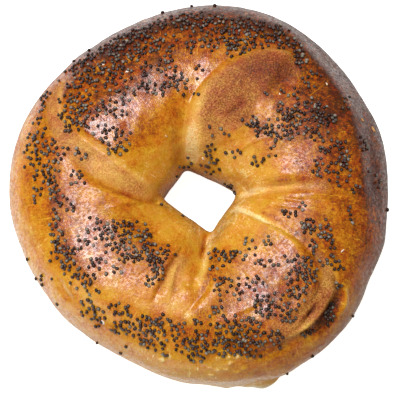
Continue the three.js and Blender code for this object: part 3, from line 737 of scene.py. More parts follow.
class BagelRingSettings(bpy.types.PropertyGroup):
    """Sizes of the ring and fineness of its mesh"""

    outer_radius: bpy.props.FloatProperty(
        name="Outer Radius", description="Mean radius of the outside", default=0.0518, unit="LENGTH")
    height: bpy.props.FloatProperty(
        name="Height", description="Height of the smooth crown", default=0.0348, unit="LENGTH")
    waist_height: bpy.props.FloatProperty(
        name="Waist Height", description="Height at which the ring is widest",
        default=0.0165, unit="LENGTH")
    foot_sink: bpy.props.FloatProperty(
        name="Foot Sink", description="How much of the round base the foot cuts off",
        default=0.0012, unit="LENGTH")
    hole_scale: bpy.props.FloatProperty(
        name="Hole Scale", description="Size of the hole against its usual 19 by 18 millimetres",
        default=1.0, subtype="FACTOR", min=0.2, max=2.0)
    ring_steps: bpy.props.IntProperty(
        name="Ring Steps", description="Mesh steps round the ring, an even number", default=440, min=24)
    section_steps: bpy.props.IntProperty(
        name="Section Steps", description="Mesh steps round the section", default=215, min=12)


class BagelCrustSettings(bpy.types.PropertyGroup):
    """Colours of the crust, from raw to dark"""

    cream: bpy.props.FloatVectorProperty(
        name="Cream", description="Barely baked dough", subtype="COLOR", default=(0.83, 0.47, 0.11))
    straw: bpy.props.FloatVectorProperty(
        name="Straw", description="Lightly baked crust", subtype="COLOR", default=(0.68, 0.335, 0.028))
    amber: bpy.props.FloatVectorProperty(
        name="Amber", description="Golden crust", subtype="COLOR", default=(0.57, 0.205, 0.005))
    chestnut: bpy.props.FloatVectorProperty(
        name="Chestnut", description="Deeply baked crust", subtype="COLOR", default=(0.33, 0.068, 0.004))
    umber: bpy.props.FloatVectorProperty(
        name="Umber", description="Darkest crust", subtype="COLOR", default=(0.075, 0.015, 0.006))
    tan: bpy.props.FloatVectorProperty(
        name="Tan", description="Dull crust of the sides and base", subtype="COLOR",
        default=(0.60, 0.285, 0.070))
    matt_brown: bpy.props.FloatVectorProperty(
        name="Matt Brown", description="Bare tongue of dough", subtype="COLOR",
        default=(0.31, 0.078, 0.012))
    # painted shade and sheen as well as crust: the sides' greyish darkest brown stands in for their shade
    # and the grey reflection at their edges
    side_brown_and_shade: bpy.props.FloatVectorProperty(
        name="Side Brown", description="Darkest crust of the sides", subtype="COLOR",
        default=(0.22, 0.125, 0.095))
    foot: bpy.props.FloatVectorProperty(
        name="Foot", description="Torn raw dough at the foot", subtype="COLOR",
        default=(0.90, 0.86, 0.72))
    raw: bpy.props.FloatVectorProperty(
        name="Raw", description="Stretched dough by the hole", subtype="COLOR",
        default=(0.88, 0.71, 0.34))


class BagelSeedSettings(bpy.types.PropertyGroup):
    """Size and colours of the poppy seeds"""

    length: bpy.props.FloatProperty(
        name="Length", description="Length of a poppy seed", default=0.00110, unit="LENGTH")
    width: bpy.props.FloatProperty(
        name="Width", description="Width of a poppy seed", default=0.00097, unit="LENGTH")
    thickness: bpy.props.FloatProperty(
        name="Thickness", description="Thickness of a poppy seed", default=0.0008, unit="LENGTH")
    black: bpy.props.FloatVectorProperty(
        name="Black", description="Darkest seeds", subtype="COLOR", default=(0.008, 0.003, 0.002))
    maroon: bpy.props.FloatVectorProperty(
        name="Maroon", description="Brownish seeds", subtype="COLOR", default=(0.050, 0.014, 0.012))
    slate: bpy.props.FloatVectorProperty(
        name="Slate", description="Slate grey seeds", subtype="COLOR", default=(0.066, 0.053, 0.056))
    moss: bpy.props.FloatVectorProperty(
        name="Moss", description="Greenish grey seeds", subtype="COLOR", default=(0.110, 0.100, 0.072))
    ash: bpy.props.FloatVectorProperty(
        name="Ash", description="Lightest seeds", subtype="COLOR", default=(0.26, 0.235, 0.20))


class BagelStageSettings(bpy.types.PropertyGroup):
    """Camera and lights"""

    elevation: bpy.props.FloatProperty(
        name="Camera Elevation", description="How steeply the camera looks down",
        default=math.radians(78), subtype="ANGLE")
    distance: bpy.props.FloatProperty(
        name="Camera Distance", description="From the lens to the bagel", default=0.42, unit="LENGTH")
    lens: bpy.props.FloatProperty(
        name="Lens", description="Focal length in millimetres", default=136)
    key: bpy.props.FloatProperty(name="Key Light", description="Power of the side light", default=0.78)
    top: bpy.props.FloatProperty(name="Top Light", description="Power of the overhead light", default=6.2)
    sky: bpy.props.FloatProperty(name="Sky", description="Strength of the light all round", default=0.26)


# ---------------------------------------------------------------- materials


def add_node(tree, kind, inputs=None, **settings):
    """A node with the given settings; inputs maps its sockets to values or to other outputs."""
    node = tree.nodes.new(kind)
    for key, value in settings.items():
        setattr(node, key, value)
    for key, value in (inputs or {}).items():
        if isinstance(value, bpy.types.NodeSocket):
            tree.links.new(value, node.inputs[key])
        else:
            node.inputs[key].default_value = value
    return node


def calculate(tree, operation, *values):
    """The output of a Math node on numbers or outputs."""
    return add_node(tree, "ShaderNodeMath", dict(enumerate(values)), operation=operation).outputs[0]


def times(tree, a, b):
    """The product of two numbers or outputs."""
    return calculate(tree, "MULTIPLY", a, b)


def plus(tree, a, b):
    """The sum of two numbers or outputs."""
    return calculate(tree, "ADD", a, b)


def most(tree, a, b):
    """The larger of two numbers or outputs."""
    return calculate(tree, "MAXIMUM", a, b)


def one_less(tree, value):
    """1 less the value."""
    return calculate(tree, "SUBTRACT", 1, value)


def with_shares(tree, base, *parts):
    """The base with a share of each part added, from (part, share) pairs."""
    for part, share in parts:
        base = calculate(tree, "MULTIPLY_ADD", part, share, base)
    return base


def vector_math(tree, operation, inputs, output=0):
    """An output of a Vector Math node."""
    return add_node(tree, "ShaderNodeVectorMath", inputs, operation=operation).outputs[output]


def noise(tree, vector, scale, detail=3.0, roughness=0.6):
    """Noise round 0, from about -0.3 to 0.3."""
    inputs = {"Vector": vector, "Scale": scale, "Detail": detail, "Roughness": roughness}
    return calculate(tree, "SUBTRACT", add_node(tree, "ShaderNodeTexNoise", inputs).outputs[0], 0.5)


def ramp_up(tree, value, low, high):
    """0 below low, 1 above high and smooth between."""
    inputs = {"Value": value, "From Min": low, "From Max": high}
    return add_node(tree, "ShaderNodeMapRange", inputs, interpolation_type="SMOOTHSTEP").outputs[0]


def ramp(tree, factor, stops):
    """A Color Ramp through (position, colour) stops."""
    node = add_node(tree, "ShaderNodeValToRGB", {0: factor})
    elements = node.color_ramp.elements
    while len(elements) < len(stops):
        elements.new(0.5)
    for element, (position, colour) in zip(elements, stops):
        element.position = position
        element.color = (*colour, 1)
    return node.outputs[0]


def mix(tree, factor, a, b):
    """The output of a colour Mix node on colours or outputs."""
    a, b = (value if isinstance(value, bpy.types.NodeSocket) else (*value, 1) for value in (a, b))
    return add_node(tree, "ShaderNodeMix", {0: factor, 6: a, 7: b}, data_type="RGBA").outputs[2]


def attribute(tree, name):
    """The output of an attribute that the mesh holds."""
    return add_node(tree, "ShaderNodeAttribute", attribute_name=name).outputs["Fac"]


def bump(tree, height, distance):
    """The normal of a fine relief."""
    return add_node(tree, "ShaderNodeBump", {"Height": height, "Distance": distance}).outputs[0]


def principled(name):
    """A new material, with its tree and its shader."""
    material = bpy.data.materials.new(name)
    material.use_nodes = True
    return material, material.node_tree, material.node_tree.nodes["Principled BSDF"]


def grain_group():
    """Uneven grain at two sizes: one output shades a colour, the other is a height for bump."""
    found = bpy.data.node_groups.get("uneven_grain")
    if found:
        return found
    tree = bpy.data.node_groups.new("uneven_grain", "ShaderNodeTree")
    sockets = {"INPUT": ("Patch Size", "Grain Size", "Patch", "Grain"), "OUTPUT": ("Shade", "Height")}
    for way, labels in sockets.items():
        for label in labels:
            tree.interface.new_socket(label, in_out=way, socket_type="NodeSocketFloat")
    given = tree.nodes.new("NodeGroupInput").outputs
    place = tree.nodes.new("ShaderNodeTexCoord").outputs["Object"]
    patch = noise(tree, place, calculate(tree, "DIVIDE", 1, given["Patch Size"]))
    fine = noise(tree, place, calculate(tree, "DIVIDE", 1, given["Grain Size"]))
    patch = times(tree, patch, given["Patch"])
    fine = times(tree, fine, given["Grain"])
    add_node(tree, "NodeGroupOutput", {"Shade": plus(tree, patch, fine), "Height": fine})
    return tree


def grain(tree, patch_size, grain_size, patch, fine):
    """The grain group placed in a material: sizes in metres, and how strong each size is."""
    inputs = {"Patch Size": patch_size, "Grain Size": grain_size, "Patch": patch, "Grain": fine}
    node = tree.nodes.new("ShaderNodeGroup")
    node.node_tree = grain_group()
    for key, value in inputs.items():
        node.inputs[key].default_value = value
    return node.outputs["Shade"], node.outputs["Height"]


# The finest marks of the crust: sizes in metres
PIT_SPACING = 0.0012
PIT_PATCH = 0.004
WOBBLE_SIZE = 1 / 900   # pits and the glaze's net are bent out of round at this size
WOBBLE_REACH = 0.0006
STREAK_WIDTH = 0.00045
STREAK_LENGTH = 0.0028
STREAK_MIDDLE = 0.03    # the distance from the hole at which streaks have that width
FLECK_SIZE = 0.0009
MOTTLE_SIZE = 0.0011
GLAZE_PATCH = 0.0032
GLAZE_NET = 0.0008
CRUST_BUMP = 0.00015
# Where each mark starts and is full, in its own noise, distance or bake
MOTTLED_BAKES = (0.45, 0.8)
PIT_EDGE = (0.15, 0.42)
PIT_PATCH_EDGE = (-0.06, 0.12)
FLECK_EDGE = (0.14, 0.24)
STRETCH_EDGE = (0.11, 0.19)
GLAZE_PATCH_EDGE = (0.10, -0.12)
GLAZE_NET_EDGE = (-0.04, 0.05)
# How much darker each mark makes the bake, or paler
MOTTLE_DARKER = 0.75
STRETCH_DARKER = 0.22
# the strongest stretch lines are painted pale: stretched skin and painted glints
STRETCH_AND_GLINT_PALER = -0.30   # the strongest stretch lines
PIT_DARKER = 0.10
# pale flecks: sandy specks of the crust and painted glints
FLECK_AND_GLINT_PALER = -0.14
DULL_SHADE = 0.5        # dull crust has this share of the soft patches,
DULL_FINE = 0.5         # this share of the fine grain
MATT_FINE = 1.5         # and this much more of it where it is matt
DULL_SHARE = 0.85       # how far dull colours take over
# How rough the glazed crust is, and how much rougher or smoother each mark makes it
GLAZED_ROUGHNESS = 0.29
MATT_ROUGHER = 0.36
TAN_ROUGHER = 0.26
PIT_ROUGHER = 0.25
NET_SMOOTHER = -0.14
CRUST_SPECULAR = 0.40
GLAZE_ROUGHNESS = 0.22
DRY_BARENESS = 1.6      # how fast the glaze thins out where it dried dull
PATCH_THINNING = -0.6   # and in patches
# How much each mark stands up
FINE_RELIEF = 0.2
SPECK_RELIEF = 2.0
PIT_RELIEF = -0.12
STRETCH_RELIEF = 0.3


def streaks(tree, place):
    """Fine stretch lines that run out from the hole, round 0."""
    flat = vector_math(tree, "MULTIPLY", {0: place, 1: (1, 1, 0)})
    out = vector_math(tree, "LENGTH", {0: flat}, "Value")
    way = vector_math(tree, "NORMALIZE", {0: flat})
    across = vector_math(tree, "SCALE", {0: way, "Scale": STREAK_MIDDLE / STREAK_WIDTH})
    along = times(tree, out, 1 / STREAK_LENGTH)
    lifted = add_node(tree, "ShaderNodeCombineXYZ", {"Z": along}).outputs[0]
    return noise(tree, vector_math(tree, "ADD", {0: across, 1: lifted}), 1.0, detail=2.0)


def bent_place(tree, place):
    """The place with a small wobble, which makes round marks uneven."""
    wobble = add_node(tree, "ShaderNodeTexNoise", {"Vector": place, "Scale": 1 / WOBBLE_SIZE})
    shift = vector_math(tree, "SCALE", {0: wobble.outputs["Color"], "Scale": WOBBLE_REACH})
    return vector_math(tree, "ADD", {0: place, 1: shift})


def pits(tree, place, bent):
    """Small round hollows in the glaze, in patches."""
    cells = add_node(tree, "ShaderNodeTexVoronoi", {"Vector": bent, "Scale": 1 / PIT_SPACING})
    pit = one_less(tree, ramp_up(tree, cells.outputs["Distance"], *PIT_EDGE))
    return times(tree, pit, ramp_up(tree, noise(tree, place, 1 / PIT_PATCH), *PIT_PATCH_EDGE))


def crust_material(look, hole_middle):
    """Egg-washed crust: its bake, with painted shade and light, drives the colour, with pits, pale flecks
    and fine stretch lines, the palest of them painted glints as well.

    Where matt is 1 the crust is bare and grainy, where tan is 1 it is a dull side, and dry says
    how much rougher the glaze is.
    """
    material, tree, shader = principled("baked_crust")
    place = add_node(tree, "ShaderNodeMapping", {
        "Vector": tree.nodes.new("ShaderNodeTexCoord").outputs["Object"],
        "Location": [-value for value in hole_middle],
    }).outputs[0]
    bake_and_shade, matt, tan, dry = (attribute(tree, name) for name in ("bake_and_shade", "matt", "tan", "dry"))
    shade, height = grain(tree, patch_size=0.0048, grain_size=0.0007, patch=0.62, fine=0.50)
    blotch, fine = grain(tree, patch_size=0.0016, grain_size=0.0004, patch=0.40, fine=0.60)
    dull = most(tree, matt, tan)
    shiny = one_less(tree, dull)
    # deeply baked crust is mottled
    mottle = noise(tree, place, 1 / MOTTLE_SIZE, detail=2.0)
    mottle = times(tree, mottle, ramp_up(tree, bake_and_shade, *MOTTLED_BAKES))
    mottle = times(tree, mottle, one_less(tree, tan))
    stretch = times(tree, streaks(tree, place), shiny)
    bent = bent_place(tree, place)
    pit = times(tree, pits(tree, place, bent), shiny)
    # the palest stretch lines and the flecks are painted pale: stretched skin and sandy specks, and
    # painted glints
    level = with_shares(
        tree, plus(tree, plus(tree, bake_and_shade, shade), blotch),
        (mottle, MOTTLE_DARKER), (stretch, STRETCH_DARKER),
        (ramp_up(tree, stretch, *STRETCH_EDGE), STRETCH_AND_GLINT_PALER), (pit, PIT_DARKER),
        (ramp_up(tree, noise(tree, place, 1 / FLECK_SIZE), *FLECK_EDGE), FLECK_AND_GLINT_PALER))
    glazed = ramp(tree, level, (
        (0, look.raw), (0.08, look.cream), (0.20, look.straw), (0.30, look.straw),
        (0.5, look.amber), (0.74, look.chestnut), (1, look.umber)))
    fine_share = with_shares(tree, DULL_FINE, (matt, MATT_FINE))
    dull_level = with_shares(tree, bake_and_shade, (shade, DULL_SHADE), (fine, fine_share))
    bare = ramp(tree, dull_level, (
        (0, look.raw), (0.14, look.cream), (0.40, look.tan), (0.66, look.matt_brown),
        (0.95, look.umber)))
    # the sides' darkest stop is painted shade and grey sheen as well as crust colour
    side = ramp(tree, dull_level, (
        (0, look.foot), (0.12, look.cream), (0.40, look.tan), (0.70, look.side_brown_and_shade),
        (1, look.umber)))
    colour = mix(tree, times(tree, dull, DULL_SHARE), glazed, mix(tree, tan, bare, side))
    # patches of the crust are yellower or redder than others
    patches = grain(tree, patch_size=0.0030, grain_size=0.0007, patch=0.07, fine=0.03)[0]
    tinted = add_node(
        tree, "ShaderNodeHueSaturation", {"Color": colour, "Hue": plus(tree, patches, 0.5)})
    tree.links.new(tinted.outputs["Color"], shader.inputs["Base Color"])
    # the glaze lies as a net of small shiny drops, and it dried in patches
    net = noise(tree, bent, 1 / GLAZE_NET, detail=3.0, roughness=0.7)
    net = ramp_up(tree, net, *GLAZE_NET_EDGE)
    rough = with_shares(
        tree, plus(tree, dry, GLAZED_ROUGHNESS),
        (matt, MATT_ROUGHER), (tan, TAN_ROUGHER), (pit, PIT_ROUGHER), (net, NET_SMOOTHER))
    tree.links.new(rough, shader.inputs["Roughness"])
    shader.inputs["Specular IOR Level"].default_value = CRUST_SPECULAR
    patchy = noise(tree, place, 1 / GLAZE_PATCH, detail=4.0, roughness=0.7)
    patchy = ramp_up(tree, patchy, *GLAZE_PATCH_EDGE)
    unglazed = most(tree, pit, most(tree, times(tree, dry, DRY_BARENESS), matt))
    glaze = times(tree, one_less(tree, unglazed), with_shares(tree, 1, (patchy, PATCH_THINNING)))
    glaze = most(tree, times(tree, glaze, net), 0)
    tree.links.new(glaze, shader.inputs["Coat Weight"])
    shader.inputs["Coat Roughness"].default_value = GLAZE_ROUGHNESS
    speck = times(tree, plus(tree, height, fine), matt)
    relief = with_shares(
        tree, height,
        (fine, FINE_RELIEF), (speck, SPECK_RELIEF), (pit, PIT_RELIEF), (stretch, STRETCH_RELIEF))
    tree.links.new(bump(tree, relief, CRUST_BUMP), shader.inputs["Normal"])
    return material


def dry_material(name, stops, roughness, relief, **grain_values):
    """Small dry things: each one's tone, painted lighter on top and darker at the rim, and its uneven
    grain choose the colour from the stops.
    """
    material, tree, shader = principled(name)
    shade, height = grain(tree, **grain_values)
    # the tone holds painted light on top and painted shade at the rim
    level = plus(tree, attribute(tree, "tone"), shade)
    tree.links.new(ramp(tree, level, stops), shader.inputs["Base Color"])
    shader.inputs["Roughness"].default_value = roughness
    tree.links.new(bump(tree, height, relief), shader.inputs["Normal"])
    return material


def seed_material(look):
    """Dry poppy seed, from black to ash, with a pitted skin."""
    stops = (
        (0.1, look.black), (0.36, look.maroon), (0.58, look.slate), (0.78, look.moss), (1, look.ash),
    )
    return dry_material(
        "poppy_seed", stops, roughness=0.45, relief=0.00012,
        patch_size=0.0006, grain_size=0.00016, patch=0.35, fine=0.5)


TOASTED_CRUMB = (0.5, 0.2, 0.04)
PALE_CRUMB = (0.75, 0.5, 0.25)
WHITE_HUSK = (0.85, 0.8, 0.72)


def crumb_material():
    """Pale husk and crumbs of dough."""
    stops = ((0.1, TOASTED_CRUMB), (0.5, PALE_CRUMB), (0.9, WHITE_HUSK))
    return dry_material(
        "pale_grain", stops, roughness=0.6, relief=0.0002,
        patch_size=0.001, grain_size=0.0003, patch=0.4, fine=0.3)


# ---------------------------------------------------------------- mesh helpers


def deselect_all():
    for each in bpy.context.selected_objects:
        each.select_set(False)


def select_only(obj):
    deselect_all()
    obj.select_set(True)
    bpy.context.view_layer.objects.active = obj


def coordinates(mesh):
    """The places of the mesh's points, one row each."""
    found = np.zeros(3 * len(mesh.vertices), np.float64)
    mesh.vertices.foreach_get("co", found)
    return found.reshape(-1, 3)


def set_coordinates(mesh, points):
    mesh.vertices.foreach_set("co", np.ascontiguousarray(points, np.float32).ravel())
    mesh.update()


def store(mesh, name, values):
    """A float attribute, one value for each vertex."""
    layer = mesh.attributes.new(name, "FLOAT", "POINT")
    layer.data.foreach_set("value", np.ascontiguousarray(values, np.float32))


# Unevenness of the dough: size of the lumps and how deep they are, in metres
LUMPS = ((0.009, 0.0006), (0.0024, 0.00016))


def roughen(obj, size, depth):
    """Displace a piece by soft noise, as a modifier that is applied."""
    texture = bpy.data.textures.new("lumps", "CLOUDS")
    texture.noise_scale = size
    select_only(obj)
    bpy.ops.object.modifier_add(type="DISPLACE")
    lumps = obj.modifiers[-1]
    lumps.texture = texture
    lumps.texture_coords = "LOCAL"
    lumps.strength = depth
    bpy.ops.object.modifier_apply(modifier=lumps.name)


def halve_ring_steps(torus, section_steps):
    """Cut every edge that runs round the ring in two, because a torus starts with few steps."""
    mesh = torus.data
    ends = np.zeros(2 * len(mesh.edges), int)
    mesh.edges.foreach_get("vertices", ends)
    along = (ends[0::2] - ends[1::2]) % section_steps == 0
    for parts in (mesh.vertices, mesh.polygons):
        parts.foreach_set("select", np.zeros(len(parts), bool))
    mesh.edges.foreach_set("select", along)
    select_only(torus)
    bpy.context.tool_settings.mesh_select_mode = (False, True, False)
    bpy.ops.object.mode_set(mode="EDIT")
    bpy.ops.mesh.subdivide(number_cuts=1)
    bpy.ops.object.mode_set(mode="OBJECT")


# The section's mesh steps lie closest over the crown: share of the steps, turn
SECTION_SHARES = (0, 0.64, 0.73, 0.81, 1)
SECTION_TURNS = (0, math.pi, 1.3 * math.pi, 1.65 * math.pi, 2 * math.pi)


class BAGEL_OT_crust(bpy.types.Operator):
    """Model the bagel's crust, folds and all, and paint how far it is baked, with painted shade and light
    """

    bl_idname = "bagel.crust"
    bl_label = "Crust"

    def execute(self, context):
        sizes = context.scene.bagel_ring
        ring = Ring(sizes)
        deselect_all()
        bpy.ops.mesh.primitive_torus_add(
            major_segments=sizes.ring_steps // 2, minor_segments=sizes.section_steps,
            major_radius=sizes.outer_radius / 2, minor_radius=sizes.height / 2)
        crust = context.object
        halve_ring_steps(crust, sizes.section_steps)
        crust.name = crust.data.name = "crust"
        plain = coordinates(crust.data)
        angle = np.arctan2(plain[:, 1], plain[:, 0])
        outwards = np.hypot(plain[:, 0], plain[:, 1]) - sizes.outer_radius / 2
        share = (np.arctan2(plain[:, 2], outwards) / (2 * math.pi)) % 1
        turn = np.interp(share, SECTION_SHARES, SECTION_TURNS)
        points, height = ring.points(angle, turn, MAIN_FOLDS + FINE_FOLDS)
        set_coordinates(crust.data, (points + ring.shift()) * MM)
        for size, depth in LUMPS:
            roughen(crust, size, depth)
        x, y, z = points.T
        uneven = coordinates(crust.data)
        # the foot stays flat on the tray
        uneven[:, 2] = np.where(z > 0, np.maximum(uneven[:, 2], 0), 0)
        set_coordinates(crust.data, uneven)
        reach = np.hypot(x, y)
        inner, outside = ring.hole_radius(angle), ring.outside_radius(angle)
        across = (2 * reach - inner - outside) / (outside - inner)
        # how far each place is baked, with painted shade and light added
        store(crust.data, "bake_and_shade", bake_and_shade_at(x, y, height, ring, across))
        store(crust.data, "matt", matt_at(x, y, height, ring))
        store(crust.data, "dry", sum(spot_at(spot, x, y) for spot in DRY_SPOTS))
        store(crust.data, "tan", tan_at(x, y, z, across))
        crust.data.materials.clear()
        crust.data.materials.append(crust_material(context.scene.bagel_crust, ring.shift() * MM))
        crust.data.polygons.foreach_set("use_smooth", np.ones(len(crust.data.polygons), bool))
        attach(crust, BODY)
        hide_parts(NODE)
        return {"FINISHED"}


# A bead of size 1: how far it is dented at its side, from where, and how much its ends bend over
BEAD_RADIUS = 0.5
DENT_FROM = 0.15
DENT_HALF_LENGTH = 0.35
BEND_SHARE = 0.25


def dented_bead(context, length, width, thickness, dent):
    """One seed: a round bead, squashed and dented on one side like a kidney."""
    deselect_all()
    bpy.ops.mesh.primitive_ico_sphere_add(subdivisions=2, radius=BEAD_RADIUS)
    bead = context.object
    points = coordinates(bead.data)
    side = smoothstep(points[:, 1], DENT_FROM, BEAD_RADIUS)
    side = side * (1 - smoothstep(np.abs(points[:, 0]), 0, DENT_HALF_LENGTH))
    points[:, 1] -= dent * side
    points[:, 1] += BEND_SHARE * dent * (points[:, 0] / BEAD_RADIUS) ** 2
    set_coordinates(bead.data, points * np.array([length, width, thickness]))
    return bead


# Painted light and shade on each seed and grain: how much lighter the top of a seed is than its rim, as
# painted top light, and how much darker its rim than its tone, as painted shade
PAINTED_TOP_LIGHT = 0.52
PAINTED_RIM_SHADE = -0.26


def joined_copies(context, name, bead, places, tones):
    """One mesh of many copies of a bead, each at its own matrix and with its own tone, painted lighter on
    top as light and darker at the rim as shade.
    """
    mesh = bead.data
    points = coordinates(mesh)
    faces = np.array([list(p.vertices) for p in mesh.polygons])
    flat = np.hstack([points, np.ones((len(points), 1))])
    copies = np.concatenate([(flat @ np.array(place).T)[:, :3] for place in places])
    steps = np.repeat(np.arange(len(places)) * len(points), len(faces))
    joined = bpy.data.meshes.new(name)
    all_faces = np.tile(faces, (len(places), 1)) + steps[:, None]
    joined.from_pydata(copies.tolist(), [], all_faces.tolist())
    # paint each copy lighter towards its top and darker at its rim, as light and shade
    lit_share = points[:, 2] / points[:, 2].max()
    store(joined, "tone", (np.array(tones)[:, None] + PAINTED_TOP_LIGHT * lit_share + PAINTED_RIM_SHADE).ravel())
    joined.polygons.foreach_set("use_smooth", np.ones(len(joined.polygons), bool))
    joined.update()
    piece = bpy.data.objects.new(name, joined)
    context.collection.objects.link(piece)
    bpy.data.objects.remove(bead)
    return piece


def surface_of(obj):
    return BVHTree.FromObject(obj, bpy.context.evaluated_depsgraph_get())


# Metres over the floor, above the crown
DROP_HEIGHT = 0.08


def dropped(surface, x, y):
    """Where something let go over a frame point in plan lands on the crust, and the normal."""
    above = Vector((x, y, DROP_HEIGHT))
    place, normal, _index, _distance = surface.ray_cast(above, Vector((0, 0, -1)))
    return place, normal


def beside(surface, x, y, z):
    """The nearest place on the crust to a frame point, and the normal."""
    place, normal, _index, _distance = surface.find_nearest(Vector((x, y, z)))
    return place, normal


# Single seeds on the hole's walls, the sides and the outline: x, y, z from the hole's middle
STRAY_SEEDS = (
    (-4.2, 7.9, 19.8), (-6.2, 5.6, 19.8), (-10.4, -1.8, 25.7), (-4.7, -5.3, 23.2), (6.3, 3.8, 17.6),
    (7.2, 3.3, 17), (8, 2.8, 17.4), (7.8, 2.6, 19.6), (8.9, 1.9, 17.2), (1, 6.6, 20.3),
    (2.4, 5.9, 20.6), (1.8, 7.3, 23.5), (-0.6, 7.6, 22.6), (3.7, 7.9, 26.2), (-4.6, 7.6, 22),
    (-48, 6.5, 29), (-46.8, -17.6, 22.5), (-38, -29.6, 24), (-28.3, -39.9, 17.7),
    (-21.9, -43.5, 21), (-20, -42, 26.6), (41.4, -33.1, 20), (30.1, -44, 20.3), (24, -49.5, 16),
    (3.8, 54, 24.4), (-39.3, 31.5, 26.4), (-44.1, 26.9, 24.4), (44.9, 13.5, 30), (44.2, 10.7, 31.5),
    (46.9, 5.2, 30), (49.6, 1.3, 26.5), (43.4, 14.4, 31), (50.5, -3.5, 20), (-2.5, 52.6, 22),
    (-10.8, 52, 23), (-31.6, 41.3, 25), (-46.5, 9, 29),
)


# How a seed lies: its middle over the crust, in thicknesses, and how far it tips, in radians
SEED_LIFT = (0.22, 0.4)
PILED_LIFT = (0.75, 1.0)
MOST_TIP = 0.5
SEED_SCALES = (0.86, 1.1)
# Tones run from 0 for black to 1 for ash
TONE_MIDDLE = 0.38
TONE_SPREAD = 0.27
SEED_DENT = 0.12


class BAGEL_OT_seeds(bpy.types.Operator):
    """Sprinkle the poppy seeds over the crust in their drifts"""

    bl_idname = "bagel.seeds"
    bl_label = "Poppy Seeds"

    def execute(self, context):
        look = context.scene.bagel_seeds
        rng = np.random.default_rng(RANDOM_SEED)
        surface = surface_of(bpy.data.objects["crust"])
        shift = Ring(context.scene.bagel_ring).shift() * MM
        spots = []
        for x, y, piled in drawn_spots(all_drifts(), rng):
            place, normal = dropped(surface, x * MM + shift[0], y * MM + shift[1])
            if place is not None:
                spots.append((place, normal, piled))
        for spot in STRAY_SEEDS:
            place, normal = beside(surface, *(np.array(spot) * MM + shift))
            spots.append((place, normal, False))
        places = []
        for place, normal, piled in spots:
            lift = look.thickness * rng.uniform(*(PILED_LIFT if piled else SEED_LIFT))
            tilt = Quaternion(Vector(rng.standard_normal(3)).normalized(), rng.uniform(0, MOST_TIP))
            spin = Quaternion((0, 0, 1), rng.uniform(0, 2 * math.pi))
            turn = Vector((0, 0, 1)).rotation_difference(normal) @ tilt @ spin
            scale = Vector((1, 1, 1)) * rng.uniform(*SEED_SCALES)
            places.append(Matrix.LocRotScale(place + normal * lift, turn, scale))
        tones = np.clip(rng.normal(TONE_MIDDLE, TONE_SPREAD, len(places)), 0, 1)
        bead = dented_bead(context, look.length, look.width, look.thickness, SEED_DENT)
        seeds = joined_copies(context, "poppy_seeds", bead, places, tones)
        seeds.data.materials.append(seed_material(look))
        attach(seeds, BODY)
        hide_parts(NODE)
        return {"FINISHED"}


# Pale grains and chips of dough: x, y from the hole's middle, length, width, how light
PALE_GRAINS = (
    (-26.0, -36.0, 1.5, 1.0, 0.95), (0.5, 9.6, 1.1, 0.7, 0.7), (37.5, -17.1, 1.5, 0.5, 0.6),
    (-9.5, 14.2, 0.9, 0.5, 0.5), (-20.1, 31.7, 1.0, 0.7, 0.8), (-26.8, 34.5, 1.1, 0.6, 0.7),
    (30.9, 22.5, 0.9, 0.6, 0.8), (34.1, 28.9, 1.0, 0.6, 0.5), (21.2, 25.3, 0.8, 0.5, 0.7),
    (8.6, 38.2, 0.9, 0.6, 0.8), (47.4, 18.1, 2.0, 1.3, 0.15), (44.1, 20, 1.4, 0.9, 0.15),
)
GRAIN_THICKNESS = 0.5
GRAIN_DENT = 0.2


class BAGEL_OT_grains(bpy.types.Operator):
    """Scatter the few pale grains and chips of dough"""

    bl_idname = "bagel.grains"
    bl_label = "Pale Grains"

    def execute(self, context):
        rng = np.random.default_rng(RANDOM_SEED)
        surface = surface_of(bpy.data.objects["crust"])
        shift = Ring(context.scene.bagel_ring).shift() * MM
        places = []
        for x, y, length, width, _tone in PALE_GRAINS:
            place, normal = dropped(surface, x * MM + shift[0], y * MM + shift[1])
            if place is None:
                raise RuntimeError("A pale grain lies off the crust")
            spin = Quaternion((0, 0, 1), rng.uniform(0, 2 * math.pi))
            turn = Vector((0, 0, 1)).rotation_difference(normal) @ spin
            scale = Vector((length, width, GRAIN_THICKNESS)) * MM
            places.append(Matrix.LocRotScale(place, turn, scale))
        tones = [tone for *_sizes, tone in PALE_GRAINS]
        bead = dented_bead(context, 1, 1, 1, GRAIN_DENT)
        grains = joined_copies(context, "pale_grains", bead, places, tones)
        grains.data.materials.append(crumb_material())
        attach(grains, BODY)
        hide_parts(NODE)
        return {"FINISHED"}


# ---------------------------------------------------------------- stage


FLOOR_SIZE = 6.0
PAPER = (0.9, 0.9, 0.9)
PAPER_ROUGHNESS = 0.8
PAPER_GLOW = 0.05       # what the paper gives to the light all round
CAMERA_GLOW = 0.9       # and to the camera
# How bright the paper is in the crust's reflections, in zones. Each pair is where a zone starts
# and where it is full, in metres, from the bagel's middle or along one of the two directions.
BACKWARDS = (-0.35, 0.94, 0)
RIGHTWARDS = (0.94, 0.35, 0)
NEAR_OUTSIDE = (0.16, 0.11)         # close round the bagel, apart from in front
NEAR_INSIDE = (0.056, 0.085)
NEAR_BACK = (-0.08, -0.03)
NEAR_RIGHT = (-0.01, 0.05)
NEAR_RIGHT_LOSS = -0.5              # and weaker on the right
LEFT_ZONE = (-0.03, -0.07)
LEFT_END = (0.4, 0.2)
LEFT_SHARE = 0.8
RIGHT_ZONE = (0.03, 0.12)
RIGHT_SHARE = 0.25
CONTACT_ZONE = (0.066, 0.058)       # right under the front edge
CONTACT_FRONT = (-0.02, -0.04)
CONTACT_SHARE = 0.5
# Reflections of the paper are dimmed, less in the bright zones, which glow as well
DIMMING = 0.7
BRIGHT_DIMMING = -0.6
BRIGHT_GLOW = 0.65


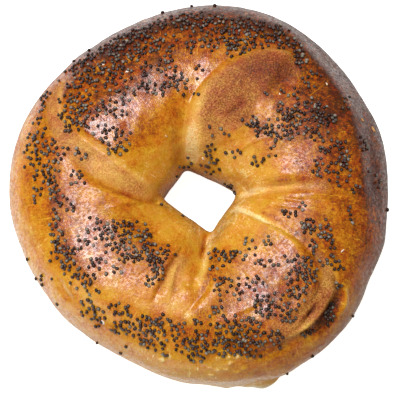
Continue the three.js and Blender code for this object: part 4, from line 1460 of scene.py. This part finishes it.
def reflected_zones(tree):
    """How bright each place of the paper is in reflections, from 0 to 1."""
    place = add_node(tree, "ShaderNodeTexCoord").outputs["Object"]
    far = vector_math(tree, "LENGTH", {0: place}, "Value")
    back = vector_math(tree, "DOT_PRODUCT", {0: place, 1: BACKWARDS}, "Value")
    right = vector_math(tree, "DOT_PRODUCT", {0: place, 1: RIGHTWARDS}, "Value")
    near = times(tree, ramp_up(tree, far, *NEAR_OUTSIDE), ramp_up(tree, far, *NEAR_INSIDE))
    near = times(tree, near, ramp_up(tree, back, *NEAR_BACK))
    weaker = with_shares(tree, 1, (ramp_up(tree, right, *NEAR_RIGHT), NEAR_RIGHT_LOSS))
    near = times(tree, near, weaker)
    left = times(tree, ramp_up(tree, right, *LEFT_ZONE), ramp_up(tree, far, *LEFT_END))
    left = times(tree, left, LEFT_SHARE)
    right = times(tree, ramp_up(tree, right, *RIGHT_ZONE), RIGHT_SHARE)
    contact = ramp_up(tree, far, *CONTACT_ZONE)
    contact = times(tree, contact, ramp_up(tree, back, *CONTACT_FRONT))
    contact = times(tree, contact, CONTACT_SHARE)
    return most(tree, most(tree, near, most(tree, left, right)), contact)


def floor_material():
    """White paper that the camera sees bright and the crust's reflections see in zones."""
    material, tree, shader = principled("pale_floor")
    shader.inputs["Roughness"].default_value = PAPER_ROUGHNESS
    shader.inputs["Emission Color"].default_value = (1, 1, 1, 1)
    rays = add_node(tree, "ShaderNodeLightPath").outputs
    bright = reflected_zones(tree)
    dim = times(tree, with_shares(tree, DIMMING, (bright, BRIGHT_DIMMING)), rays["Is Glossy Ray"])
    tree.links.new(mix(tree, dim, PAPER, (0, 0, 0)), shader.inputs["Base Color"])
    glow = times(tree, times(tree, bright, BRIGHT_GLOW), rays["Is Glossy Ray"])
    glow = with_shares(tree, glow, (rays["Is Camera Ray"], CAMERA_GLOW))
    tree.links.new(plus(tree, glow, PAPER_GLOW), shader.inputs["Emission Strength"])
    return material


# Where each light is, as degrees in plan, elevation in degrees and distance, its size and colour
KEY_PLACE = (226, 30, 0.8)
KEY_SIZE = 0.45
KEY_COLOUR = (1, 0.97, 0.93)
TOP_PLACE = (140, 73, 0.8)
TOP_SIZE = 0.46
TOP_COLOUR = (0.99, 0.965, 1)
SKY_COLOUR = (1, 0.8, 0.42, 1)
CAMERA_AIM = (0.0004, -0.0025, 0.0165)


def from_angles(azimuth, elevation, distance):
    """A point round the origin. Degrees in plan count from +X, and elevation from the floor."""
    a, e = math.radians(azimuth), math.radians(elevation)
    return Vector((math.cos(e) * math.cos(a), math.cos(e) * math.sin(a), math.sin(e))) * distance


def area_light(name, place, aim, size, strength, colour):
    """A round soft light that shines at its aim."""
    data = bpy.data.lights.new(name, "AREA")
    data.shape = "DISK"
    data.size = size
    data.energy = strength
    data.color = colour
    light = bpy.data.objects.new(name, data)
    light.location = place
    light.rotation_euler = (aim - place).to_track_quat("-Z", "Y").to_euler()
    bpy.context.collection.objects.link(light)


class BAGEL_OT_stage(bpy.types.Operator):
    """Set the pale floor, the soft lights and the camera"""

    bl_idname = "bagel.stage"
    bl_label = "Stage"

    def execute(self, context):
        look = context.scene.bagel_stage
        deselect_all()
        bpy.ops.mesh.primitive_plane_add(size=FLOOR_SIZE)
        floor = context.object
        floor.name = "floor"
        floor.data.materials.append(floor_material())
        aim = Vector(CAMERA_AIM)
        area_light("key", from_angles(*KEY_PLACE), aim, KEY_SIZE, look.key, KEY_COLOUR)
        area_light("top", from_angles(*TOP_PLACE), aim, TOP_SIZE, look.top, TOP_COLOUR)
        world = context.scene.world or bpy.data.worlds.new("studio")
        context.scene.world = world
        world.use_nodes = True
        sky = world.node_tree.nodes["Background"]
        sky.inputs["Color"].default_value = SKY_COLOUR
        sky.inputs["Strength"].default_value = look.sky
        data = bpy.data.cameras.new("camera")
        data.lens = look.lens
        camera = bpy.data.objects.new("camera", data)
        e = look.elevation
        camera.location = aim + look.distance * Vector((0, -math.cos(e), math.sin(e)))
        camera.rotation_euler = (math.pi / 2 - e, 0, 0)
        context.collection.objects.link(camera)
        context.scene.camera = camera
        context.scene.view_settings.view_transform = "Standard"
        return {"FINISHED"}


class BAGEL_PT_panel(bpy.types.Panel):
    """Lists the bagel's settings and pieces"""

    bl_label = "Poppy Seed Bagel"
    bl_idname = "BAGEL_PT_panel"
    bl_space_type = "VIEW_3D"
    bl_region_type = "UI"
    bl_category = "Bagel"

    def draw(self, context):
        layout = self.layout
        for group in SETTINGS:
            box = layout.box()
            settings = getattr(context.scene, group)
            for key in settings.bl_rna.properties.keys():
                if key not in ("rna_type", "name"):
                    box.prop(settings, key)
        for operator in OPERATORS:
            layout.operator(operator.bl_idname)


SETTINGS = {
    "bagel_ring": BagelRingSettings,
    "bagel_crust": BagelCrustSettings,
    "bagel_seeds": BagelSeedSettings,
    "bagel_stage": BagelStageSettings,
}
OPERATORS = (BAGEL_OT_crust, BAGEL_OT_seeds, BAGEL_OT_grains, BAGEL_OT_stage)


def register():
    for each in (*SETTINGS.values(), *OPERATORS, BAGEL_PT_panel):
        bpy.utils.register_class(each)
    for name, group in SETTINGS.items():
        setattr(bpy.types.Scene, name, bpy.props.PointerProperty(type=group))


def unregister():
    for name in SETTINGS:
        delattr(bpy.types.Scene, name)
    for each in reversed((*SETTINGS.values(), *OPERATORS, BAGEL_PT_panel)):
        bpy.utils.unregister_class(each)


def main():
    """Build every piece and the stage."""
    register()
    bpy.ops.bagel.crust()
    bpy.ops.bagel.seeds()
    bpy.ops.bagel.grains()
    bpy.ops.bagel.stage()


if __name__ == "__main__":
    main()
